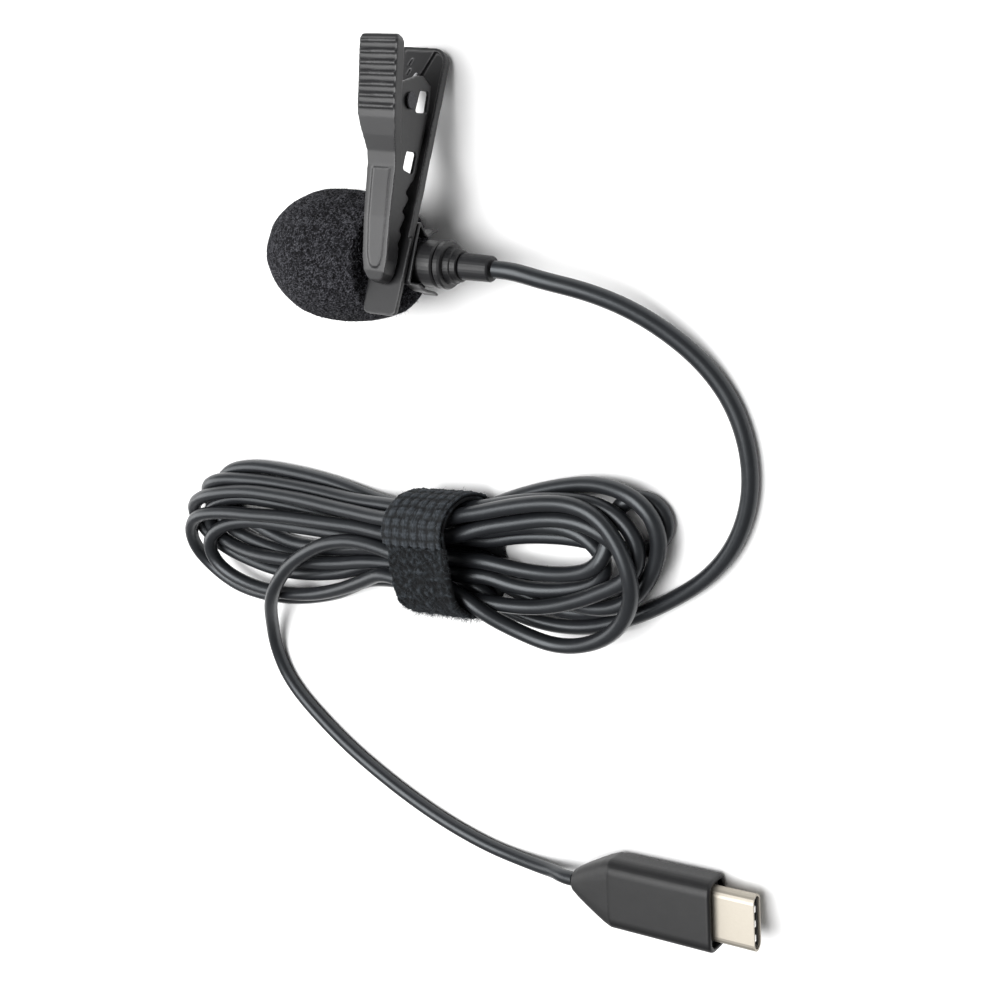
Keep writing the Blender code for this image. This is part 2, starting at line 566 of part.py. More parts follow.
# hook-and-loop tie: a flat loop closed round the waist of the hank
tie_frame = empty("tie_frame", None, Matrix.Translation(Vector((TIE_POS[0] + PLAN_SHIFT[0], TIE_POS[1] + PLAN_SHIFT[1],
                  TIE_T + TIE_IN_H / 2)) * MM) @ Matrix.Rotation(math.radians(TIE_YAW), 4, 'Z'))


def stadium(w, h, steps=8):
    r = h / 2
    c = w / 2 - r
    out = []
    for k in range(steps + 1):
        t = -math.pi / 2 + math.pi * k / steps
        out.append((c + r * math.cos(t), r * math.sin(t)))
    for k in range(steps + 1):
        t = math.pi / 2 + math.pi * k / steps
        out.append((-c + r * math.cos(t), r * math.sin(t)))
    return out


def ring(name, outer, inner, low, high, frame, mat, lean=0.0):
    """A closed band between two outlines with equal point counts, along local x, whose low side may lean forward."""
    bm = bmesh.new()
    layers = []
    top = max(b for a, b in outer)
    for x, outline in ((low, outer), (high, outer), (high, inner), (low, inner)):
        layers.append([bm.verts.new(((x + lean * (top - b)) * MM, a * MM, b * MM)) for a, b in outline])
    n = len(outer)
    for i in range(4):
        u, v = layers[i], layers[(i + 1) % 4]
        for j in range(n):
            k = (j + 1) % n
            bm.faces.new((u[j], u[k], v[k], v[j]))
    me = finish_bm(bm, name)
    ob = link(name, me, frame, mat)
    return ob


tie = ring("velcro_tie", stadium(TIE_IN_W + 2 * TIE_T, TIE_IN_H + 2 * TIE_T, 10), stadium(TIE_IN_W, TIE_IN_H, 10),
           -TIE_LEN / 2, TIE_LEN / 2, tie_frame, fabric_mat, TIE_LEAN)
shade(tie, 45)

# ---- plug -----------------------------------------------------------------------------------------------------
def rrect(w, h, r, steps=4):
    return rounded([(-w / 2, -h / 2), (w / 2, -h / 2), (w / 2, h / 2), (-w / 2, h / 2)], r, steps)


SEC = 20


def resample(outline, count):
    pts = [Vector(p) for p in outline]
    pts.append(pts[0])
    acc = [0.0]
    for a, b in zip(pts, pts[1:]):
        acc.append(acc[-1] + (b - a).length)
    out = []
    j = 0
    for i in range(count):
        s = acc[-1] * i / count
        while acc[j + 1] < s:
            j += 1
        f = (s - acc[j]) / (acc[j + 1] - acc[j]) if acc[j + 1] > acc[j] else 0
        out.append(tuple(pts[j].lerp(pts[j + 1], f)))
    return out


def polar(w, h, power, count=32):
    """Superellipse section, so round and rounded-box sections share their points."""
    out = []
    for k in range(count):
        t = math.tau * k / count
        c, s = math.cos(t), math.sin(t)
        out.append((w / 2 * math.copysign(abs(c) ** (2 / power), c), h / 2 * math.copysign(abs(s) ** (2 / power), s)))
    return out


def loft(name, sections, frame, mat):
    bm = bmesh.new()
    layers = [[bm.verts.new((x * MM, a * MM, b * MM)) for a, b in outline] for x, outline in sections]
    n = len(layers[0])
    for u, v in zip(layers, layers[1:]):
        for j in range(n):
            k = (j + 1) % n
            bm.faces.new((u[j], u[k], v[k], v[j]))
    bm.faces.new(layers[0])
    bm.faces.new(list(reversed(layers[-1])))
    me = finish_bm(bm, name)
    ob = link(name, me, frame, mat)
    shade(ob, 35)
    return ob


sections = []
for i in range(7):
    t = i / 6.0
    e = t ** 0.85
    sections.append((NOSE_L * t, polar(3.3 + (HOUSING_W - 3.3) * e, 3.3 + (HOUSING_H - 3.3) * e, 2.0 + 2.6 * t, 32)))
loft("plug_nose", sections, plug, rubber_mat)

x0, x1 = NOSE_L + 0.05, NOSE_L + HOUSING_L
housing = prism("plug_housing", rrect(HOUSING_W, HOUSING_H, 1.9, 6), x0, x1, 'x', plug, plastic_mat, main)
bevel(housing, 0.35, 2, 60)
boolean(housing, prism("cavity", rrect(9.3, 4.4, 1.2, 4), x0 + 1.0, x1 + 1.0, 'x', plug))
shade(housing, 35)

bez = prism("front_bezel", rrect(9.2, 4.3, 1.15, 4), x1 - 2.2, x1 - 0.9, 'x', plug, plastic_mat, main)
boolean(bez, prism("bez_hole", stadium(SHELL_W + 0.1, SHELL_H + 0.1, 8), x1 - 4, x1 + 1, 'x', plug))
shade(bez, 35)

s1 = x1 + SHELL_L - 0.8
s0 = s1 - 9.4
shell = ring("usb_shell", stadium(SHELL_W, SHELL_H, 10), stadium(SHELL_W - 2 * SHELL_T, SHELL_H - 2 * SHELL_T, 10), s0, s1,
             plug, nickel_mat)
shade(shell, 40)
# insulator: a stepped tray whose slot takes the board and whose side rails carry the contacts
ins = prism("plug_insulator", stadium(SHELL_W - 2 * SHELL_T - 0.1, SHELL_H - 2 * SHELL_T - 0.1, 8), s0 + 0.2, s1 - 0.3, 'x',
            plug, chip_mat, main)
for y in (-2.1, 0.0, 2.1):
    boolean(ins, box("notch", (s1 - 0.97, s1 + 1), (y - 0.5, y + 0.5), (0.3, 1.5), plug))
boolean(ins, prism("mouth", rrect(6.7, 0.86, 0.2, 2), s1 - 5.2, s1 + 1, 'x', plug))
shade(ins, 35)
for s, nm in ((1, "contact_row_upper"), (-1, "contact_row_lower")):
    pts = [(-3.0, s * 0.34), (3.0, s * 0.34), (3.0, s * 0.41), (-3.0, s * 0.41)]
    row = prism(nm, pts, s1 - 4.9, s1 - 1.2, 'x', plug, gold_mat, main)
    for k in range(11):
        y = -2.5 + 0.5 * k
        boolean(row, box("gap", (s1 - 4.5, s1 - 0.5), (y - 0.1, y + 0.1), (-1, 1), plug))
spring_plate = prism("ground_spring", [(-2.7, 0.2), (2.7, 0.2), (2.7, 0.3), (-2.7, 0.3)], s1 - 1.1, s1 - 0.6, 'x', plug,
                     nickel_mat, main)
for y in (-2.1, 0.0, 2.1):
    boolean(spring_plate, prism("finger", [(y - 0.44, 0.25), (y + 0.44, 0.25), (y + 0.44, 0.8), (y - 0.44, 0.8)],
                                s1 - 0.92, s1 - 0.1, 'x', plug), 'UNION')
box("converter_board", (x0 + 1.6, s0 - 0.15), (-4.2, 4.2), (-0.4, 0.4), plug, board_mat, main)
box("converter_chip", (x0 + 4.0, x0 + 8.0), (-2.0, 2.0), (0.45, 1.35), plug, chip_mat, main)

for ob in list(cutters.objects):
    bpy.data.objects.remove(ob, do_unlink=True)
bpy.context.view_layer.update()
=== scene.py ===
import math
import bpy
import bmesh
import numpy as np
from mathutils import Matrix, Vector, kdtree, noise


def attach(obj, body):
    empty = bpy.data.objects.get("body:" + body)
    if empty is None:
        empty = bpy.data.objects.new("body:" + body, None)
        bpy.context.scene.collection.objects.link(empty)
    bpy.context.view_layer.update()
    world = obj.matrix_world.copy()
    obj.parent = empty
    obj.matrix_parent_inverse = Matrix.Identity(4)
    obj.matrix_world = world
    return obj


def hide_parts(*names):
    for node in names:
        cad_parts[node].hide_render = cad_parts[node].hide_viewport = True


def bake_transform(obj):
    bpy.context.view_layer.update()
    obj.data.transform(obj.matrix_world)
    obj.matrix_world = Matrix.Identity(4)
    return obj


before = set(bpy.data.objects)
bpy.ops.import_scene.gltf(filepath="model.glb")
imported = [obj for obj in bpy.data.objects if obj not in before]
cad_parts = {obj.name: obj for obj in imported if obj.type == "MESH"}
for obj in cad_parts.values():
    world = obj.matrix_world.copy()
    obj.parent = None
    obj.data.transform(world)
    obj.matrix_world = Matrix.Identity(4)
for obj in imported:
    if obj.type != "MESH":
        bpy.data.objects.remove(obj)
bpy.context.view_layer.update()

MM = 0.001


# ---- the same frames as the CAD ------------------------------------------------------------
SHIFT = Vector((-2.688, -3.737, 0.0))
MIC_AT = Vector((6.81, -5.75, 8.238)) + SHIFT
DROP, PITCH, TURN = math.radians(-2.0), math.radians(25.5), math.radians(-1.6)
PLUG_AT = Vector((26.09, -100.24, 3.85)) + SHIFT
PLUG_YAW, PLUG_ROLL = math.radians(10.1), math.radians(-15.0)
TIE_AT, TIE_YAW = Vector((5.9, -48.3, 5.6)) + SHIFT, math.radians(8.0)
CABLE_D = 2.2


def mic_matrix():
    w = Vector((math.cos(DROP), 0, math.sin(DROP)))
    h = Vector((0, 1, 0))
    u = w.cross(h)
    l = h * math.cos(PITCH) - u * math.sin(PITCH)
    m = Matrix((w, l, w.cross(l))).transposed().to_4x4()
    m.translation = MIC_AT
    return m                      # millimetres


MIC_M = mic_matrix()
CLIP_M = MIC_M @ Matrix.Rotation(TURN, 4, 'Z')
PLUG_M = Matrix.Translation(PLUG_AT) @ Matrix.Rotation(PLUG_YAW, 4, 'Z') @ Matrix.Rotation(PLUG_ROLL, 4, 'X')
TIE_M = Matrix.Translation(TIE_AT) @ Matrix.Rotation(TIE_YAW, 4, 'Z')

rng = np.random.default_rng(7)


# ---- camera -------------------------------------------------------------------------------
cam_data = bpy.data.cameras.new("camera")
cam_data.sensor_width = 36.0
cam_data.lens = 43.2
cam_data.clip_start = 0.005
cam_data.clip_end = 10.0
cam = bpy.data.objects.new("camera", cam_data)
bpy.context.scene.collection.objects.link(cam)
right = Vector((0.83893642, -0.04954814, -0.54196924))
up = Vector((-0.18506084, 0.91053265, -0.36970635))
back = Vector((0.51179895, 0.41045741, 0.75470958))
cm = Matrix((right, up, back)).transposed().to_4x4()
cm.translation = Vector((0.096758, 0.024561, 0.127))
cam.matrix_world = cm
bpy.context.scene.camera = cam

# ---- helpers --------------------------------------------------------------------------------


def add(name, me, body, mats=()):
    ob = bpy.data.objects.new(name, me)
    bpy.context.scene.collection.objects.link(ob)
    for m in mats:
        me.materials.append(m)
    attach(ob, body)
    return ob


def mesh_of(name, verts, faces, smooth=True):
    me = bpy.data.meshes.new(name)
    me.from_pydata([tuple(v) for v in verts], [], [tuple(f) for f in faces])
    me.validate()
    me.update()
    if smooth:
        me.shade_smooth()
    return me


def applied(ob):
    bpy.context.view_layer.update()
    dg = bpy.context.evaluated_depsgraph_get()
    me = bpy.data.meshes.new_from_object(ob.evaluated_get(dg))
    ob.modifiers.clear()
    ob.data = me
    return ob


class Nodes:
    """Short way to write a shader's node tree."""

    def __init__(self, name):
        self.m = bpy.data.materials.new(name)
        self.m.use_nodes = True
        self.t = self.m.node_tree
        self.b = self.t.nodes["Principled BSDF"]
        tc = self.t.nodes.new("ShaderNodeTexCoord")
        mp = self.t.nodes.new("ShaderNodeMapping")
        mp.inputs["Scale"].default_value = (1000.0, 1000.0, 1000.0)   # millimetres
        self.t.links.new(tc.outputs["Object"], mp.inputs["Vector"])
        self.mm = mp.outputs["Vector"]

    def set(self, **kw):
        for k, v in kw.items():
            self.b.inputs[k.replace("_", " ")].default_value = v
        return self

    def scaled(self, s):
        mp = self.t.nodes.new("ShaderNodeMapping")
        mp.inputs["Scale"].default_value = s
        self.t.links.new(self.mm, mp.inputs["Vector"])
        return mp.outputs["Vector"]

    def noise(self, scale, detail=3.0, rough=0.55, vector=None, distortion=0.0):
        n = self.t.nodes.new("ShaderNodeTexNoise")
        n.inputs["Scale"].default_value = scale
        n.inputs["Detail"].default_value = detail
        n.inputs["Roughness"].default_value = rough
        n.inputs["Distortion"].default_value = distortion
        self.t.links.new(vector or self.mm, n.inputs["Vector"])
        return n.outputs["Fac"]

    def voronoi(self, scale, feature='F1', vector=None, randomness=1.0):
        n = self.t.nodes.new("ShaderNodeTexVoronoi")
        n.feature = feature
        n.inputs["Scale"].default_value = scale
        n.inputs["Randomness"].default_value = randomness
        self.t.links.new(vector or self.mm, n.inputs["Vector"])
        return n.outputs["Distance"]

    def ramp(self, fac, stops):
        n = self.t.nodes.new("ShaderNodeValToRGB")
        el = n.color_ramp.elements
        while len(el) < len(stops):
            el.new(0.5)
        for e, (p, c) in zip(el, stops):
            e.position = p
            e.color = (*c, 1.0) if hasattr(c, "__len__") else (c, c, c, 1.0)
        self.t.links.new(fac, n.inputs["Fac"])
        return n.outputs["Color"]

    def maths(self, op, a, b=None, clamp=False):
        n = self.t.nodes.new("ShaderNodeMath")
        n.operation = op
        n.use_clamp = clamp
        for i, v in enumerate((a, b)):
            if v is None:
                continue
            if isinstance(v, (int, float)):
                n.inputs[i].default_value = v
            else:
                self.t.links.new(v, n.inputs[i])
        return n.outputs[0]

    def mix(self, fac, a, b, blend='MIX'):
        n = self.t.nodes.new("ShaderNodeMix")
        n.data_type = 'RGBA'
        n.blend_type = blend
        for key, v in ((0, fac), (6, a), (7, b)):
            if hasattr(v, "links") or hasattr(v, "is_linked"):
                self.t.links.new(v, n.inputs[key])
            elif key == 0:
                n.inputs[0].default_value = v
            else:
                n.inputs[key].default_value = (*v, 1.0)
        return n.outputs[2]

    def attribute(self, name):
        n = self.t.nodes.new("ShaderNodeAttribute")
        n.attribute_name = name
        return n.outputs["Fac"]

    def colour(self, out):
        self.t.links.new(out, self.b.inputs["Base Color"])
        return self

    def rough(self, out):
        self.t.links.new(out, self.b.inputs["Roughness"])
        return self

    def bump(self, *layers):
        """Each layer is (height socket, strength, distance in mm)."""
        last = None
        for h, strength, dist in layers:
            n = self.t.nodes.new("ShaderNodeBump")
            n.inputs["Strength"].default_value = strength
            n.inputs["Distance"].default_value = dist * MM
            self.t.links.new(h, n.inputs["Height"])
            if last is not None:
                self.t.links.new(last, n.inputs["Normal"])
            last = n.outputs["Normal"]
        self.t.links.new(last, self.b.inputs["Normal"])
        return self


# ---- materials -------------------------------------------------------------------------------
def jacket():
    k = Nodes("jacket_soft_black")
    k.set(Specular_IOR_Level=0.50, Specular_Tint=(0.91, 0.96, 1.0, 1.0))
    dust = k.ramp(k.noise(9.0, 4.0, 0.7), [(0.0, 0.0), (0.74, 0.0), (0.82, 1.0)])
    cloud = k.noise(0.30, 2.0, 0.5)
    base = k.ramp(cloud, [(0.30, (0.0084, 0.0092, 0.0108)), (0.72, (0.0122, 0.0132, 0.0152))])
    k.colour(k.mix(k.maths('MULTIPLY', dust, 0.15), base, (0.14, 0.14, 0.15)))
    k.rough(k.maths('ADD', k.maths('MULTIPLY', k.noise(1.2, 3.0, 0.5), 0.10), 0.31))
    k.bump((k.noise(0.5, 2.0, 0.5), 0.06, 0.12), (k.noise(14.0, 3.0, 0.6), 0.07, 0.010))
    return k.m


def paint(name="satin_black_paint", dark=(0.011, 0.011, 0.012), light=(0.014, 0.014, 0.015)):
    k = Nodes(name)
    k.set(Specular_IOR_Level=0.44)
    base = k.ramp(k.noise(0.25, 2.0, 0.5), [(0.3, dark), (0.75, light)])
    wear = k.ramp(k.maths('MULTIPLY', k.attribute("edge"), k.noise(5.0, 4.0, 0.6)),
                  [(0.0, 0.0), (0.34, 0.0), (0.70, 1.0)])
    k.colour(k.mix(k.maths('MULTIPLY', wear, 0.22), base, (0.22, 0.22, 0.225)))
    k.rough(k.maths('ADD', k.maths('MULTIPLY', k.noise(3.0, 3.0, 0.5), 0.06), 0.36))
    k.bump((k.noise(18.0, 3.0, 0.55), 0.10, 0.012), (k.voronoi(11.0), 0.05, 0.012))
    return k.m


def foam_material():
    k = Nodes("open_cell_foam")
    k.set(Specular_IOR_Level=0.2)
    cell = k.attribute("ridge")
    grain = k.noise(7.0, 4.0, 0.7)
    v = k.maths('MULTIPLY', cell, k.maths('ADD', k.maths('MULTIPLY', grain, 1.3), 0.2), clamp=True)
    # painted shade and highlight: the colour darkens down into the cell pits and lightens to a painted highlight on the
    # walls between them
    base = k.ramp(v, [(0.0, (0.0030, 0.0030, 0.0036)), (0.44, (0.0038, 0.0038, 0.0047)), (0.72, (0.0105, 0.0105, 0.013)),
                      (1.0, (0.092, 0.093, 0.104))])
    # painted glints: small bright specks on the cell walls
    speck = k.ramp(k.noise(11.0, 2.0, 0.7), [(0.0, 0.0), (0.72, 0.0), (0.78, 1.0)])
    k.colour(k.mix(k.maths('MULTIPLY', k.maths('MULTIPLY', speck, cell), 0.6), base, (0.22, 0.22, 0.23)))
    k.set(Roughness=0.95)
    k.bump((k.noise(9.0, 4.0, 0.7), 0.7, 0.09))
    return k.m


def fibre_material(name, colour):
    k = Nodes(name)
    k.set(Roughness=0.7, Specular_IOR_Level=0.4)
    k.colour(k.ramp(k.noise(0.9, 2.0, 0.5), [(0.3, tuple(c * 0.45 for c in colour)), (0.7, colour)]))
    return k.m


def hook_material():
    k = Nodes("hook_tape")
    k.set(Specular_IOR_Level=0.3, Roughness=0.8)
    h = k.attribute("relief")
    grain = k.noise(8.0, 4.0, 0.7)
    v = k.maths('MULTIPLY', h, k.maths('ADD', grain, 0.45), clamp=True)
    # painted shade and highlight: the colour darkens with the relief down between the hooks and lightens on the hook
    # tops
    k.colour(k.ramp(v, [(0.0, (0.001, 0.0012, 0.0015)), (0.40, (0.004, 0.0052, 0.0066)), (0.75, (0.026, 0.031, 0.037)),
                        (1.0, (0.060, 0.070, 0.081))]))
    k.bump((k.noise(12.0, 3.0, 0.7), 0.55, 0.06))
    return k.m


def pile_material():
    k = Nodes("loop_pile")
    k.set(Specular_IOR_Level=0.25, Roughness=0.9)
    h = k.attribute("relief")
    grain = k.noise(6.0, 5.0, 0.75)
    v = k.maths('MULTIPLY', h, k.maths('ADD', grain, 0.3), clamp=True)
    # painted shade and highlight: the colour darkens with the relief in the hollows of the pile and lightens on its
    # raised tufts
    k.colour(k.ramp(v, [(0.0, (0.001, 0.001, 0.0015)), (0.35, (0.003, 0.0037, 0.0045)), (0.62, (0.012, 0.0148, 0.0175)), (0.95, (0.040, 0.047, 0.055))]))
    k.bump((k.noise(10.0, 4.0, 0.75), 0.8, 0.10))
    return k.m


def plastic(name, dark, light, rough=0.42, speck=0.3):
    k = Nodes(name)
    k.set(Specular_IOR_Level=0.36)
    base = k.ramp(k.noise(0.5, 3.0, 0.5), [(0.3, dark), (0.72, light)])
    dust = k.ramp(k.noise(12.0, 3.0, 0.7), [(0.0, 0.0), (0.70, 0.0), (0.78, 1.0)])
    k.colour(k.mix(k.maths('MULTIPLY', dust, speck), base, (0.18, 0.18, 0.19)))
    k.rough(k.maths('ADD', k.maths('MULTIPLY', k.noise(3.0, 4.0, 0.6), 0.16), rough - 0.08))
    k.bump((k.noise(22.0, 3.0, 0.5), 0.22, 0.015), (k.noise(0.5, 2.0, 0.5), 0.06, 0.1))
    return k.m


def metal(name, dark, light, rough, metallic=1.0, brushed=(1.0, 1.0, 1.0)):
    k = Nodes(name)
    k.set(Metallic=metallic)
    streak = k.noise(6.0, 4.0, 0.6, vector=k.scaled(brushed))
    k.colour(k.ramp(streak, [(0.25, dark), (0.75, light)]))
    k.rough(k.maths('ADD', k.maths('MULTIPLY', k.noise(2.5, 4.0, 0.6), 0.14), rough - 0.07))
    k.bump((streak, 0.08, 0.02))
    return k.m


def grille_material():
    k = Nodes("grille_mesh")
    k.set(Metallic=0.6, Roughness=0.55)
    k.colour(k.ramp(k.voronoi(5.0), [(0.1, (0.01, 0.01, 0.01)), (0.45, (0.12, 0.12, 0.12))]))
    k.bump((k.voronoi(5.0), 0.5, 0.06))
    return k.m


JACKET = jacket()
PAINT = paint()
FOAM = foam_material()
HOOK = hook_material()
PILE = pile_material()
FIBRE_DARK = fibre_material("tie_fibre", (0.050, 0.059, 0.069))
FIBRE_PALE = fibre_material("foam_fibre", (0.12, 0.12, 0.13))
HOUSING = plastic("housing_black", (0.0058, 0.0058, 0.0063), (0.0078, 0.0078, 0.0084), 0.46, 0.05)
NOSE = plastic("nose_rubber", (0.013, 0.013, 0.0135), (0.016, 0.016, 0.0165), 0.50, 0.05)
BEZEL = plastic("bezel_black", (0.006, 0.006, 0.0065), (0.009, 0.009, 0.0095), 0.42, 0.05)
COLLAR = plastic("collar_rubber", (0.0045, 0.0045, 0.0052), (0.0070, 0.0070, 0.0079), 0.45, 0.12)
BOOT = plastic("boot_rubber", (0.0085, 0.0086, 0.0098), (0.0125, 0.0127, 0.0142), 0.46, 0.15)
NICKEL = metal("nickel_shell", (0.39, 0.358, 0.305), (0.415, 0.384, 0.331), 0.50, 0.80, (0.25, 3.0, 3.0))
TIPS = metal("contact_spring", (0.88, 0.87, 0.84), (0.96, 0.95, 0.93), 0.55, 0.4)
SPRING = metal("spring_wire", (0.30, 0.30, 0.31), (0.52, 0.52, 0.54), 0.34)
PIN = metal("pin_steel", (0.030, 0.030, 0.033), (0.07, 0.07, 0.075), 0.40)
GOLD = metal("gold_contacts", (0.70, 0.47, 0.18), (0.92, 0.70, 0.34), 0.26)
CAN = metal("capsule_can", (0.55, 0.55, 0.55), (0.75, 0.75, 0.75), 0.32)
BLACK_IN = plastic("insulator_black", (0.010, 0.010, 0.011), (0.018, 0.018, 0.019), 0.40, 0.1)
BOARD = plastic("solder_mask", (0.012, 0.12, 0.05), (0.02, 0.18, 0.08), 0.35, 0.1)
GRILLE = grille_material()

